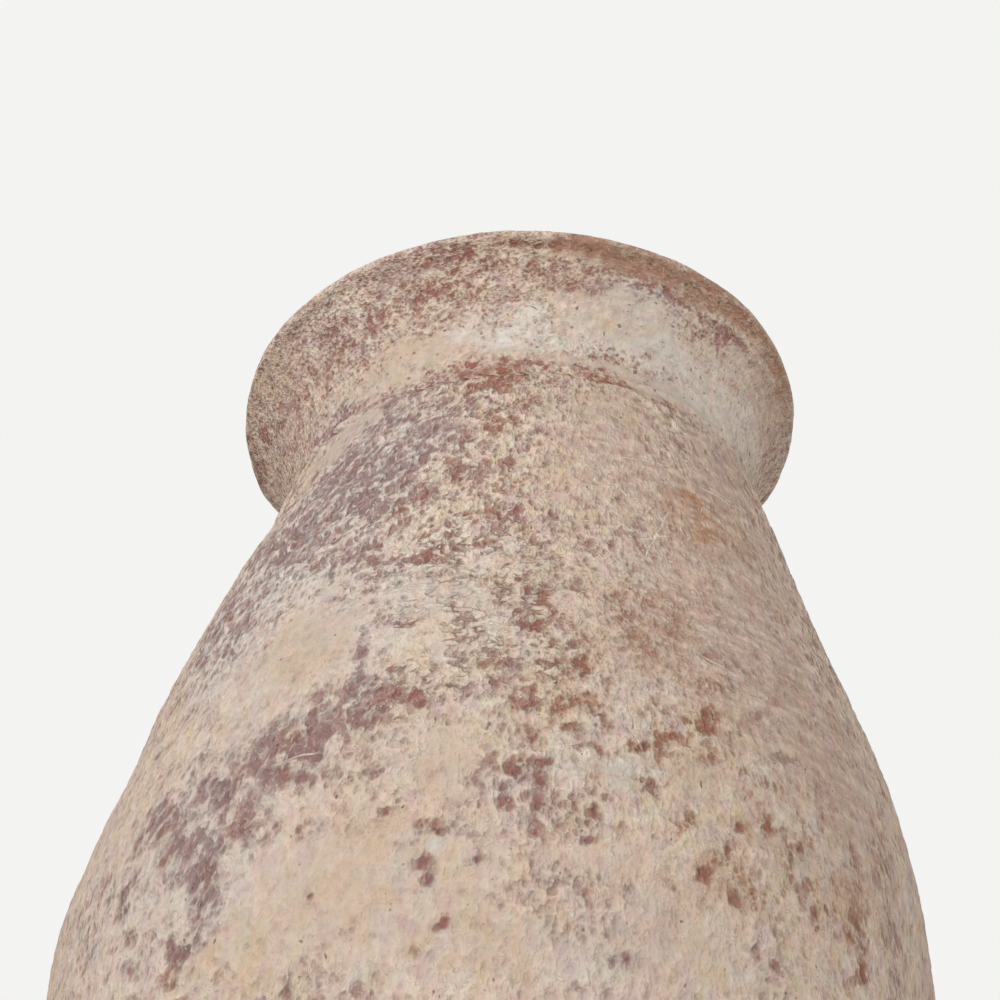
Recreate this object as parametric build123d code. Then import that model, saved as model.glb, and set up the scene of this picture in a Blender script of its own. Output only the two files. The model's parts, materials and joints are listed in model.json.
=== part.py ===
from build123d import *
import math
import os

# A tall hand-built storage jar. Its body turns about Z and stands on z = 0.
# Its neck and rim turn about an axis of their own, which leans towards -X.
# Lengths are in millimetres, and a seam's height is measured on the outside.

# Foot
base_radius = 78.0
base_thickness = 15.0
base_edge_round = 3.0
heel_height = 52.0

# Body wall. The belly's bend is the height from the widest place to where the upright
# and the shoulder's straight line would meet if no arc rounded them.
belly_radius = 150.0
belly_height = 285.0
belly_bend = 61.0
seat_height = 520.0
body_wall = 10.0

# Rise of a bevelled joint from the outside of the wall to its inside
seam_lap = 8.0

# Neck and rim, along their own axis from the seat
rim_lean = 4.2
neck_radius = 100.0
neck_wall = 9.0
ridge_width = 2.0
ridge_height = 7.0
collar_height = 28.0
neck_height = 60.0
lip_radius = 125.0
lip_height = 8.0
lip_overhang = 6.0
lip_round = 2.8

# Wall belts between the heel and the seat, from the lowest up
belt_names = [
    "lower_wall_belt",
    "lower_belly_belt",
    "upper_belly_belt",
    "lower_shoulder_belt",
    "upper_shoulder_belt",
]


def upright_arc(across, along):
    """Radius and turn of an arc that starts upright and moves by across while it rises by along."""
    return (across**2 + along**2) / (2 * across), 2 * math.atan2(across, along)


def on_circle(centre, radius, angle):
    return (centre[0] + radius * math.cos(angle), centre[1] + radius * math.sin(angle))


def arc(centre, radius, start, end):
    middle = (start + end) / 2
    return ThreePointArc(*[on_circle(centre, radius, a) for a in (start, middle, end)])


def turned(section):
    """Solid of a section drawn in radius and height, turned about Z."""
    return revolve(Plane.XZ * section, axis=Axis.Z)


# Body outline: an arc from the foot to the belly, an arc above it, and a straight shoulder
foot_arc_radius, foot_turn = upright_arc(belly_radius - base_radius, belly_height)
foot_centre = (belly_radius - foot_arc_radius, belly_height)
seat_radius = neck_radius + ridge_width
shoulder_angle = math.atan2(belly_radius - seat_radius, seat_height - belly_height - belly_bend)
belly_arc_radius = belly_bend / math.tan(shoulder_angle / 2)
belly_centre = (belly_radius - belly_arc_radius, belly_height)
shoulder_foot_height = belly_height + belly_arc_radius * math.sin(shoulder_angle)


def body_radius(height):
    """Outside radius of the body at a height."""
    if height <= belly_height:
        rise = height - belly_height
        return foot_centre[0] + math.sqrt(foot_arc_radius**2 - rise**2)
    if height <= shoulder_foot_height:
        rise = height - belly_height
        return belly_centre[0] + math.sqrt(belly_arc_radius**2 - rise**2)
    return seat_radius + (seat_height - height) * math.tan(shoulder_angle)


def inner_foot_angle():
    """Angle on the inner foot arc at which the inside wall would reach z = 0."""
    return -math.asin(belly_height / (foot_arc_radius - body_wall))


# The shoulder is made taller than the slanted seat and then trimmed to it
lean = math.radians(rim_lean)
seat_drop = seat_radius * math.tan(lean)
trim_height = seat_height + 2 * seat_drop + body_wall


def body_wall_section():
    """The whole wall from z = 0 to the trim height."""
    shoulder_foot = on_circle(belly_centre, belly_arc_radius, shoulder_angle)
    inner_shoulder_foot = on_circle(belly_centre, belly_arc_radius - body_wall, shoulder_angle)
    shoulder_top = (body_radius(trim_height), trim_height)
    across_wall = (math.cos(shoulder_angle) * body_wall, math.sin(shoulder_angle) * body_wall)
    inner_top = (shoulder_top[0] - across_wall[0], shoulder_top[1] - across_wall[1])
    inner_foot = on_circle(foot_centre, foot_arc_radius - body_wall, inner_foot_angle())
    return make_face(
        [
            arc(foot_centre, foot_arc_radius, -foot_turn, 0),
            arc(belly_centre, belly_arc_radius, 0, shoulder_angle),
            Line(shoulder_foot, shoulder_top),
            Line(shoulder_top, inner_top),
            Line(inner_top, inner_shoulder_foot),
            arc(belly_centre, belly_arc_radius - body_wall, shoulder_angle, 0),
            arc(foot_centre, foot_arc_radius - body_wall, 0, inner_foot_angle()),
            Line(inner_foot, (base_radius, 0)),
        ]
    )


def seam(radius, height, wall):
    """Bevelled cut through a wall, as an inner and an outer point well clear of it."""
    reach = 2 * wall
    rise = seam_lap / wall * reach
    return (radius - reach, height + rise), (radius + reach, height - rise)


def level(radius, height, wall):
    """Level cut through a wall, as an inner and an outer point well clear of it."""
    reach = 2 * wall
    return (radius - reach, height), (radius + reach, height)


def between(wall_section, low, high):
    """The stretch of a wall between two cuts."""
    strip = make_face(Polyline(low[0], low[1], high[1], high[0], close=True))
    return wall_section & strip


def base_disc():
    rim_angle = math.asin((base_thickness - belly_height) / foot_arc_radius)
    rim = on_circle(foot_centre, foot_arc_radius, rim_angle)
    section = make_face(
        [
            Line((0, 0), (base_radius, 0)),
            arc(foot_centre, foot_arc_radius, -foot_turn, rim_angle),
            Line(rim, (0, base_thickness)),
            Line((0, base_thickness), (0, 0)),
        ]
    )
    disc = turned(section)
    foot_edge = disc.edges().sort_by(Axis.Z)[0]
    return fillet(foot_edge, radius=min(base_edge_round, base_thickness / 3))


def body_belts():
    """Heel coil and wall belts by name, the top one still untrimmed."""
    wall_section = body_wall_section()
    spacing = (seat_height - seat_drop - heel_height) / len(belt_names)
    cuts = [level(body_radius(base_thickness), base_thickness, body_wall)]
    for index in range(len(belt_names)):
        height = heel_height + index * spacing
        cuts.append(seam(body_radius(height), height, body_wall))
    cuts.append(level(seat_radius, trim_height + body_wall, 2 * body_wall))
    names = ["heel_coil"] + belt_names
    return {
        name: turned(between(wall_section, low, high))
        for name, low, high in zip(names, cuts, cuts[1:])
    }


# The slanted seat cuts the shoulder in an oval, whose middle lies off the body's axis
seat_slant = math.tan(lean) * math.tan(shoulder_angle)
seat_shift = -seat_radius * seat_slant / (1 - seat_slant**2)
seat = Plane(
    origin=(seat_shift, 0, seat_height + seat_shift * math.tan(lean)),
    x_dir=(math.cos(lean), 0, math.sin(lean)),
    z_dir=(-math.sin(lean), 0, math.cos(lean)),
)

# Rim outline: an upright collar that sweeps out in one arc to the lip
flare_across = lip_radius - lip_overhang - neck_radius
flare_along = neck_height - lip_height - ridge_height
flare_arc_radius, flare_turn = upright_arc(flare_across, flare_along)
flare_centre = (neck_radius + flare_arc_radius, ridge_height)
flare_end_angle = math.pi - flare_turn
flare_end = on_circle(flare_centre, flare_arc_radius, flare_end_angle)
inner_flare_end = on_circle(flare_centre, flare_arc_radius + neck_wall, flare_end_angle)


def neck_section():
    """Neck and flare in one, from the seat to the lip."""
    inner_radius = neck_radius - neck_wall
    return make_face(
        [
            Line((neck_radius, 0), (neck_radius, ridge_height)),
            arc(flare_centre, flare_arc_radius, math.pi, flare_end_angle),
            Line(flare_end, inner_flare_end),
            arc(flare_centre, flare_arc_radius + neck_wall, flare_end_angle, math.pi),
            Line((inner_radius, ridge_height), (inner_radius, 0)),
            Line((inner_radius, 0), (neck_radius, 0)),
        ]
    )


def neck_and_flare():
    rise = collar_height - ridge_height
    seam_radius = flare_centre[0] - math.sqrt(flare_arc_radius**2 - rise**2)
    foot_cut = level(neck_radius, 0, neck_wall)
    seam_cut = seam(seam_radius, collar_height, neck_wall)
    top_cut = level(lip_radius, neck_height + neck_wall, lip_radius - neck_radius + neck_wall)
    section = neck_section()
    return {
        "neck_collar": turned(between(section, foot_cut, seam_cut)),
        "rim_flare": turned(between(section, seam_cut, top_cut)),
    }


def neck_ridge():
    """Thin coil in the corner between the collar and the shoulder's edge."""
    bulge_radius, bulge_turn = upright_arc(ridge_width, ridge_height)
    bulge_centre = (seat_radius - bulge_radius, 0)
    section = make_face(
        [
            Line((neck_radius, 0), (seat_radius, 0)),
            arc(bulge_centre, bulge_radius, 0, bulge_turn),
            Line((neck_radius, ridge_height), (neck_radius, 0)),
        ]
    )
    return turned(section)


def lip_coil():
    """Thickened lip with an upright edge."""
    corners = [flare_end, (lip_radius, flare_end[1]), (lip_radius, neck_height), inner_flare_end]
    section = make_face(Polyline(*corners, close=True))
    edge_corners = section.vertices().sort_by(Axis.X)[-2:]
    return turned(fillet(edge_corners, radius=min(lip_round, 0.45 * lip_height)))


nodes = {"base_disc": base_disc(), **body_belts()}
nodes[belt_names[-1]] = split(nodes[belt_names[-1]], bisect_by=seat, keep=Keep.BOTTOM)
rim_nodes = {"neck_ridge": neck_ridge(), **neck_and_flare(), "lip_coil": lip_coil()}
for name, solid in rim_nodes.items():
    nodes[name] = seat.location * solid

os.makedirs("parts", exist_ok=True)
for name, solid in nodes.items():
    export_step(solid, f"parts/{name}.step")
    print(name, round(solid.volume / 1000, 1), "cm3")
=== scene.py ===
import json
import math

import bpy
import numpy as np
from mathutils import Euler, Matrix, Vector


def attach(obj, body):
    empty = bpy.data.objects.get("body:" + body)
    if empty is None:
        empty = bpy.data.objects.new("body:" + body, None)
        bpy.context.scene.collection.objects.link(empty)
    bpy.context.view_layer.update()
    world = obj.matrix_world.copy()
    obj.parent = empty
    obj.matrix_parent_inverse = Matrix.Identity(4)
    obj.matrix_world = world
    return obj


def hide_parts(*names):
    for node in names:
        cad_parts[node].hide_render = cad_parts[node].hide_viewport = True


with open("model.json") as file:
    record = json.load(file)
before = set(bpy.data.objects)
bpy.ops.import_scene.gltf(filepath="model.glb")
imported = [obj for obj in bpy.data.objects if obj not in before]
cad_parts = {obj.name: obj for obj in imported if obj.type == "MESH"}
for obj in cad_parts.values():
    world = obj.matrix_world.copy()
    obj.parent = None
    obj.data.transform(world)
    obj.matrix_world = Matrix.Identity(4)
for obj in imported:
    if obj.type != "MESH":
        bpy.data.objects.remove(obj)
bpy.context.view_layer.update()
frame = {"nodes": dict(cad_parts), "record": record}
print("frame loaded:", len(frame["nodes"]), "sections of the jar")

# the jar's outline, in metres, with the sizes of its solids
jar = {
    "baseRadius": 0.078, "baseThickness": 0.015, "baseRound": 0.003, "heelHeight": 0.052,
    "bellyRadius": 0.150, "bellyHeight": 0.285, "bellyBend": 0.061,
    "seatHeight": 0.520, "bodyWall": 0.010, "seamLap": 0.008,
    "rimLean": math.radians(4.2), "neckRadius": 0.100, "neckWall": 0.009,
    "ridgeWidth": 0.002, "ridgeHeight": 0.007, "collarHeight": 0.028, "neckHeight": 0.060,
    "lipRadius": 0.125, "lipHeight": 0.008, "lipOverhang": 0.006,
}
beltNames = ["lower_wall_belt", "lower_belly_belt", "upper_belly_belt",
             "lower_shoulder_belt", "upper_shoulder_belt"]

# how finely the wall is turned: steps round the jar, and the spacing of its rows
turning = {"steps": 720, "bodyRow": 0.00135, "rimRow": 0.001, "lipRow": 0.0007,
           "insideRow": 0.004, "floorRow": 0.006}

# marks of the potter's hands in the profile: height and spacing of the rings, and where they fade out
handRings = {"outside": 0.00012, "outsideStep": 0.0071, "inside": 0.0007, "insideStep": 0.0165,
             "footGap": 0.02, "footFade": 0.05, "seatFade": 0.02}
# the bead at the neck: how far it stands out, how low its crest lies, and how it swells and thins
bead = {"proud": 0.0024, "skew": 0.8, "least": 0.35, "uneven": 1.3, "wave": 1.0}
# the lip's rounded edge: where its outer edge and its crown lie, and the handles of its curves
lipCurve = {"edgeDrop": 0.0036, "crownIn": 0.0032, "lead": 0.0042, "edgePull": 0.0026, "edgePush": 0.0022,
            "crownPull": 0.002}


def uprightArc(across, along):
    return (across ** 2 + along ** 2) / (2 * across), 2 * math.atan2(across, along)


def onCircle(centre, radius, angle):
    return (centre[0] + radius * math.cos(angle), centre[1] + radius * math.sin(angle))


def arcRows(centre, radius, start, end, row):
    count = max(2, round(abs(end - start) * radius / row))
    return [onCircle(centre, radius, start + (end - start) * i / count) for i in range(count + 1)]


def lineRows(start, end, row):
    count = max(1, round(math.dist(start, end) / row))
    return [(start[0] + (end[0] - start[0]) * i / count,
             start[1] + (end[1] - start[1]) * i / count) for i in range(count + 1)]


def curveRows(start, pull, push, end, row):
    # cubic curve with two handles, about a tenth longer than its chord
    count = max(2, round(math.dist(start, end) * 1.1 / row))
    rows = []
    for i in range(count + 1):
        t = i / count
        share = ((1 - t) ** 3, 3 * t * (1 - t) ** 2, 3 * t * t * (1 - t), t ** 3)
        rows.append(tuple(sum(w * p[k] for w, p in zip(share, (start, pull, push, end))) for k in (0, 1)))
    return rows


# outline of the body and the rim, worked out as on the solids
j = jar
seatRadius = j["neckRadius"] + j["ridgeWidth"]
footRadius, footTurn = uprightArc(j["bellyRadius"] - j["baseRadius"], j["bellyHeight"])
footCentre = (j["bellyRadius"] - footRadius, j["bellyHeight"])
shoulderAngle = math.atan2(j["bellyRadius"] - seatRadius, j["seatHeight"] - j["bellyHeight"] - j["bellyBend"])
bellyArc = j["bellyBend"] / math.tan(shoulderAngle / 2)
bellyCentre = (j["bellyRadius"] - bellyArc, j["bellyHeight"])
seatDrop = seatRadius * math.tan(j["rimLean"])
flareRadius, flareTurn = uprightArc(j["lipRadius"] - j["lipOverhang"] - j["neckRadius"],
                                    j["neckHeight"] - j["lipHeight"] - j["ridgeHeight"])
flareCentre = (j["neckRadius"] + flareRadius, j["ridgeHeight"])


def bodyRadiusAt(height, inset=0.0):
    # inset 0 is the outside of the wall, and the wall's thickness its inside
    rise = height - j["bellyHeight"]
    if rise <= 0:
        return footCentre[0] + math.sqrt((footRadius - inset) ** 2 - rise ** 2)
    if rise <= (bellyArc - inset) * math.sin(shoulderAngle):
        return bellyCentre[0] + math.sqrt((bellyArc - inset) ** 2 - rise ** 2)
    slope = (j["seatHeight"] - height) * math.tan(shoulderAngle)
    return seatRadius + slope - inset / math.cos(shoulderAngle)


def handRing(height, inset):
    # uneven rings that fade out at the foot and at the seat
    size, step = (handRings["inside"], handRings["insideStep"]) if inset else \
                 (handRings["outside"], handRings["outsideStep"])
    fade = min(1, max(0, (height - handRings["footGap"]) / handRings["footFade"]),
               max(0, (j["seatHeight"] - height) / handRings["seatFade"]))
    turn = 2 * math.pi * height / step
    wave = math.sin(turn + 1.7 * math.sin(0.31 * turn)) + 0.5 * math.sin(0.62 * turn + 1.3)
    return size * fade * wave / 1.5


def beadRise(share):
    # how far the bead stands out, from its lower edge, 0, to its upper edge, 1
    return bead["proud"] * np.sin(np.pi * share ** bead["skew"])


def bodyRows(low, high, inset, row):
    count = max(1, round((high - low) / row))
    heights = [low + (high - low) * i / count for i in range(count + 1)]
    return [(bodyRadiusAt(h, inset) + handRing(h, inset), h) for h in heights]


def innerSeamHeight(height):
    # a bevelled joint rises from the outside of the wall to its inside
    return height + j["seamLap"]


def wallBands():
    # bands of the wall from under the foot, up the outside, over the lip and down the inside,
    # each with the section that it belongs to
    wall, lift = j["bodyWall"], j["seatHeight"]
    spacing = (j["seatHeight"] - seatDrop - j["heelHeight"]) / len(beltNames)
    seams = [j["heelHeight"] + i * spacing for i in range(len(beltNames))]
    sections = ["heel_coil"] + beltNames
    lows = [j["baseThickness"]] + seams
    highs = seams + [j["seatHeight"]]
    footEdge = (bodyRadiusAt(0) - j["baseRound"] * math.tan((math.pi / 2 - footTurn) / 2), 0)
    roundCentre = (footEdge[0], j["baseRound"])
    roundEnd = onCircle(roundCentre, j["baseRound"], -footTurn)
    flareEndAngle = math.pi - flareTurn
    flareEnd = onCircle(flareCentre, flareRadius, flareEndAngle)
    innerFlareEnd = onCircle(flareCentre, flareRadius + j["neckWall"], flareEndAngle)
    collarAngle = math.pi - math.asin((j["collarHeight"] - j["ridgeHeight"]) / flareRadius)
    innerCollarAngle = collarAngle - j["seamLap"] / 2 / (flareRadius + j["neckWall"])
    innerNeck = j["neckRadius"] - j["neckWall"]
    fine, rim, lip, coarse = (turning[k] for k in ("bodyRow", "rimRow", "lipRow", "insideRow"))

    bands = [("base_disc", lineRows((0, 0), footEdge, turning["floorRow"])
              + arcRows(roundCentre, j["baseRound"], -math.pi / 2, -footTurn, lip)[1:]
              + bodyRows(roundEnd[1] + fine, j["baseThickness"], 0, fine))]
    for section, low, high in zip(sections, lows, highs):
        bands.append((section, bodyRows(low, high, 0, fine)))
    rise = lambda rows: [(r, z + lift) for r, z in rows]
    # the ridge is a bead that stands a little proud of the shoulder, with a crease above it
    count = round(j["ridgeHeight"] / lip)
    shares = [i / count for i in range(count + 1)]
    ridge = [(j["neckRadius"] + j["ridgeWidth"] * (1 - t ** 2) + beadRise(t), t * j["ridgeHeight"])
             for t in shares]
    bands.append(("neck_ridge", rise(ridge)))
    bands.append(("neck_collar", rise(arcRows(flareCentre, flareRadius, math.pi, collarAngle, rim))))
    bands.append(("rim_flare", rise(arcRows(flareCentre, flareRadius, collarAngle, flareEndAngle, rim))))
    # the lip rolls over from the flare without an edge
    lead = lipCurve["lead"]
    outer = (j["lipRadius"], j["neckHeight"] - lipCurve["edgeDrop"])
    crown = (j["lipRadius"] - lipCurve["crownIn"], j["neckHeight"])
    leave = (flareEnd[0] + lead * math.sin(flareTurn), flareEnd[1] + lead * math.cos(flareTurn))
    under = (outer[0], outer[1] - lipCurve["edgePull"])
    over = (outer[0], outer[1] + lipCurve["edgePush"])
    bands.append(("lip_coil", rise(
        curveRows(flareEnd, leave, under, outer, lip)
        + curveRows(outer, over, (crown[0] + lipCurve["crownPull"], crown[1]), crown, lip)[1:]
        + lineRows(crown, innerFlareEnd, lip)[1:])))
    bands.append(("rim_flare", rise(
        arcRows(flareCentre, flareRadius + j["neckWall"], flareEndAngle, innerCollarAngle, 2 * rim))))
    bands.append(("neck_collar", rise(
        arcRows(flareCentre, flareRadius + j["neckWall"], innerCollarAngle, math.pi, 2 * rim)
        + lineRows((innerNeck, j["ridgeHeight"]), (innerNeck, 0), coarse)[1:])))
    innerHighs = [innerSeamHeight(h) for h in seams] + [j["seatHeight"]]
    innerLows = [j["baseThickness"]] + innerHighs[:-1]
    for section, low, high in list(zip(sections, innerLows, innerHighs))[::-1]:
        bands.append((section, bodyRows(low, high, wall, coarse)[::-1]))
    corner = (bodyRadiusAt(j["baseThickness"], wall), j["baseThickness"])
    bands.append(("base_disc", lineRows(corner, (0, j["baseThickness"]), turning["floorRow"])))
    return bands


def editMode(selectMode):
    bpy.ops.object.mode_set(mode="EDIT")
    bpy.ops.mesh.select_mode(type=selectMode)


def objectMode():
    bpy.ops.object.mode_set(mode="OBJECT")


def only(piece):
    bpy.ops.object.select_all(action="DESELECT")
    piece.select_set(True)
    bpy.context.view_layer.objects.active = piece


def turnWall(bands):
    # the profile is drawn by extruding one point along the rows, then turned about Z
    rows, rowBand = [], []
    for index, (section, points) in enumerate(bands):
        skip = 1 if rows else 0
        rows += points[skip:]
        rowBand += [index] * (len(points) - skip)
    bpy.ops.object.select_all(action="DESELECT")
    bpy.ops.mesh.primitive_plane_add(size=0.01, location=(0, 0, 0))
    wall = bpy.context.active_object
    wall.name = "jar_wall"
    editMode("VERT")
    bpy.ops.mesh.select_all(action="SELECT")
    bpy.ops.mesh.merge(type="CENTER")
    last = (0.0, 0.0)
    for r, z in rows[1:]:
        bpy.ops.mesh.extrude_vertices_move(
            TRANSFORM_OT_translate={"value": (r - last[0], 0, z - last[1])})
        last = (r, z)
    objectMode()
    rowOf = wall.data.attributes.new("row", "INT", "POINT")
    rowOf.data.foreach_set("value", np.arange(len(rows), dtype=np.int32))
    screw = wall.modifiers.new("turn", "SCREW")
    screw.steps = screw.render_steps = turning["steps"]
    screw.use_merge_vertices = True
    screw.merge_threshold = 1e-5
    bpy.ops.object.modifier_apply(modifier=screw.name)
    editMode("VERT")
    bpy.ops.mesh.select_all(action="SELECT")
    bpy.ops.mesh.remove_doubles(threshold=1e-5)
    bpy.ops.mesh.normals_make_consistent(inside=False)
    objectMode()
    return wall, np.array(rows), np.array(rowBand)


def positions(piece):
    co = np.empty(len(piece.data.vertices) * 3, np.float32)
    piece.data.vertices.foreach_get("co", co)
    return co.reshape(-1, 3).astype(float)


def moveTo(piece, co):
    piece.data.vertices.foreach_set("co", co.astype(np.float32).ravel())
    piece.data.update()


def rowsOf(piece):
    rows = np.empty(len(piece.data.vertices), np.int32)
    piece.data.attributes["row"].data.foreach_get("value", rows)
    return rows


def soften(low, high, value):
    t = np.clip((value - low) / (high - low), 0, 1)
    return t * t * (3 - 2 * t)


bands = wallBands()
wall, profile, rowBand = turnWall(bands)
print("wall turned:", len(wall.data.vertices), "points")

# where each point lies on the plain wall: its row in the profile, its turn from the front in degrees,
# and its way along the profile
plain = positions(wall)
rowOf = rowsOf(wall)
turnOf = np.degrees(np.arctan2(plain[:, 0], -plain[:, 1]))
profileWay = np.concatenate([[0], np.cumsum(np.hypot(*np.diff(profile, axis=0).T))])
wayOf = profileWay[rowOf]
heightOf = profile[rowOf, 1]
radiusOf = profile[rowOf, 0]
topRow = int(np.argmax(profile[:, 1]))
footRow = int(np.argmax(profile[:, 1] > 0))
outsideOf = rowOf <= topRow


def wayAt(height):
    return np.interp(height, profile[footRow:topRow + 1, 1], profileWay[footRow:topRow + 1])


def turnFrom(turn, points=slice(None)):
    # degrees round the jar from a turn to points of the wall, the shorter way
    return (turnOf[points] - turn + 180) % 360 - 180


def mmFrom(turn, points=slice(None)):
    return np.radians(turnFrom(turn, points)) * radiusOf[points] * 1000


# slow swells and dents of the hand-built wall: turn and height of the place, its half sizes, the push
swells = [
    (-64, 0.368, 18, 0.022, -0.0024), (-68, 0.308, 16, 0.016, 0.0014), (-70, 0.278, 16, 0.018, -0.0016),
    (-61, 0.486, 16, 0.014, -0.0022), (50, 0.345, 16, 0.050, 0.0012), (60, 0.445, 22, 0.055, -0.0014),
    (64, 0.285, 20, 0.045, -0.0055), (-108, 0.572, 10, 0.012, 0.0016), (108, 0.572, 10, 0.012, 0.0014),
    (118, 0.33, 40, 0.09, 0.0022), (176, 0.42, 38, 0.06, -0.0018), (-140, 0.24, 44, 0.08, 0.0024),
    (-120, 0.45, 30, 0.05, -0.0014), (20, 0.14, 36, 0.06, -0.0016), (-70, 0.12, 40, 0.05, 0.0015),
    (150, 0.11, 40, 0.05, -0.0012),
]
# shallow groove under the lip on one side, from one turn to another
groove = {"depth": 0.0006, "width": 0.0013, "from": 8, "to": 84, "fade": 20, "wave": 2.4}
# the lip is a little uneven all round, outward and upward, from one height above the seat to another
lipUneven = {"from": 0.035, "to": 0.058, "out": 0.0007, "outWave": 4.2, "up": 0.0009, "upWave": 5.1}


def unevenRound(turn, seed):
    # a slow uneven wave round the jar, 0 to 1
    a = np.radians(turn)
    wave = np.sin(3 * a + seed) + 0.8 * np.sin(7 * a + 2.1 * seed) + 0.6 * np.sin(13 * a + 0.7 * seed) \
        + 0.45 * np.sin(24 * a + 3.3 * seed)
    return np.clip(0.5 + wave / 4.2, 0, 1)


def handShape():
    push = np.zeros(len(plain))
    for turn, height, halfTurn, halfHeight, size in swells:
        push += size * np.exp(-(turnFrom(turn) / halfTurn) ** 2 - ((heightOf - height) / halfHeight) ** 2)
    ridgeBand = [i for i, (section, points) in enumerate(bands) if section == "neck_ridge"][0]
    onRidge = rowBand[rowOf] == ridgeBand
    t = (heightOf - j["seatHeight"]) / j["ridgeHeight"]
    amount = bead["least"] + (1 - bead["least"]) * unevenRound(turnOf, bead["wave"])
    push += np.where(onRidge, beadRise(np.clip(t, 0, 1)) * (amount - 1) * bead["uneven"], 0)
    coilBand = [i for i, (section, points) in enumerate(bands) if section == "lip_coil"][0]
    edgeWay = profileWay[np.argmax(rowBand == coilBand)]
    side = soften(groove["from"], groove["from"] + groove["fade"], turnOf) \
        * (1 - soften(groove["to"], groove["to"] + groove["fade"], turnOf))
    depth = groove["depth"] * side * (0.5 + 0.8 * unevenRound(turnOf, groove["wave"]))
    push -= depth * np.exp(-((wayOf - edgeWay) / groove["width"]) ** 2) * outsideOf
    lipShare = soften(j["seatHeight"] + lipUneven["from"], j["seatHeight"] + lipUneven["to"], heightOf)
    push += lipUneven["out"] * (unevenRound(turnOf, lipUneven["outWave"]) - 0.5) * lipShare
    a = np.radians(turnOf)
    co = plain + push[:, None] * np.stack([np.sin(a), -np.cos(a), np.zeros_like(a)], 1)
    co[:, 2] += lipUneven["up"] * (unevenRound(turnOf, lipUneven["upWave"]) - 0.5) * lipShare
    moveTo(wall, co)


def weigh(piece, name, weights, steps=20):
    # vertex group with its weights in a few steps
    group = piece.vertex_groups.new(name=name)
    level = np.round(weights * steps).astype(int)
    for step in range(1, steps + 1):
        chosen = np.nonzero(level == step)[0]
        if len(chosen):
            group.add(chosen.tolist(), step / steps, "REPLACE")


# relief on the wall: size and detail of the forms, the push in metres, how flat they are, the band of the
# noise that shows, the share on the plain wall and on the inside, and what the marks and the rim change
relief = {
    "sway": {"size": 0.060, "detail": 1, "push": 0.0013, "flat": 1.0, "inside": 0.3},
    "dents": {"size": 0.022, "detail": 2, "push": 0.0007, "flat": 0.8, "inside": 0.5, "rimLoss": 0.5},
    "crust": {"size": 0.0070, "detail": 4, "push": 0.0011, "flat": 0.75, "low": 0.40, "high": 0.60,
              "share": 0.55, "least": 0.20, "flaky": 0.45, "bare": 0.25, "smooth": 0.55, "haze": 0.25,
              "rimLoss": 0.45, "lipLoss": 0.4, "shown": 0.06},
    "pits": {"size": 0.0042, "detail": 2, "push": -0.0006, "flat": 0.8, "low": 0.60, "high": 0.78,
             "share": 0.35, "bare": 0.5, "rimLoss": 0.5, "inside": 0.15},
}
noiseAt = (0.31, 0.17, 0.05)    # where the noises of the relief start


def pressIn(name, weights):
    # one displacement, applied, and how much of it each point took
    look = relief[name]
    weigh(wall, name, weights)
    texture = bpy.data.textures.new(name, "CLOUDS")
    texture.noise_scale = look["size"]
    texture.noise_depth = look["detail"]
    texture.noise_basis = "IMPROVED_PERLIN"
    if "low" in look:
        texture.use_color_ramp = True
        texture.color_ramp.interpolation = "EASE"
        start, end = texture.color_ramp.elements
        start.position, start.color = look["low"], (0, 0, 0, 1)
        end.position, end.color = look["high"], (1, 1, 1, 1)
    bpy.ops.object.empty_add(location=noiseAt)
    flattener = bpy.context.active_object
    flattener.scale = (1, 1, look["flat"])
    bpy.context.view_layer.update()
    only(wall)
    before = positions(wall)
    press = wall.modifiers.new(name, "DISPLACE")
    press.texture = texture
    press.texture_coords = "OBJECT"
    press.texture_coords_object = flattener
    press.vertex_group = name
    press.strength = look["push"]
    press.mid_level = 0.0 if "low" in look else 0.5
    bpy.ops.object.modifier_apply(modifier=press.name)
    moved = np.linalg.norm(positions(wall) - before, axis=1) / abs(look["push"])
    wall.vertex_groups.clear()
    bpy.data.objects.remove(flattener)
    bpy.data.textures.remove(texture)
    return moved


slideReach = 0.09    # how far down the shoulder the slant of the seat is felt


def leanedPlaces(co):
    # the neck sits on a slanted seat: the shoulder's rows slide down the cone to it,
    # and the rim above turns with the seat
    x, y, z = co.T
    radius = np.hypot(x, y)
    side = np.divide(x, radius, out=np.zeros_like(x), where=radius > 1e-9)
    across = np.divide(y, radius, out=np.zeros_like(x), where=radius > 1e-9)
    seat = j["seatHeight"]
    share = soften(seat - slideReach, seat, heightOf)
    cone = math.tan(shoulderAngle)
    slant = np.tan(j["rimLean"] * share)
    slide = radius * side * slant / (1 + cone * side * slant)
    slid = np.stack([(radius - slide * cone) * side, (radius - slide * cone) * across, z + slide], 1)
    lean = j["rimLean"]
    tilt = math.tan(lean) * cone
    shift = -seatRadius * tilt / (1 - tilt ** 2)
    local = z - seat
    turned = np.stack([shift + x * math.cos(lean) - local * math.sin(lean), y,
                       seat + shift * math.tan(lean) + x * math.sin(lean) + local * math.cos(lean)], 1)
    above = (heightOf - seat > 1e-6)[:, None]
    return np.where(above, turned, slid)


# camera, low in front of the jar and looking up at the rim, and the size of the photo in pixels
view = {"distance": 0.5148, "height": 0.1129, "pitch": 39.75, "yaw": -1.46, "roll": 4.56, "lens": 54.0,
        "sensor": 36.0, "photo": 1000}
# how a pixel finds its place on the wall: the turns it may lie at, how many points near it are read,
# and how much farther off than the nearest they may be
finding = {"turns": 110, "points": 40, "farther": 0.02}
cameraAt = (0, -view["distance"], view["height"])
cameraAim = Euler((math.radians(90 + view["pitch"]), 0, math.radians(-view["yaw"]))).to_matrix()
cameraAim = cameraAim @ Matrix.Rotation(math.radians(view["roll"]), 3, "Z")


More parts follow.
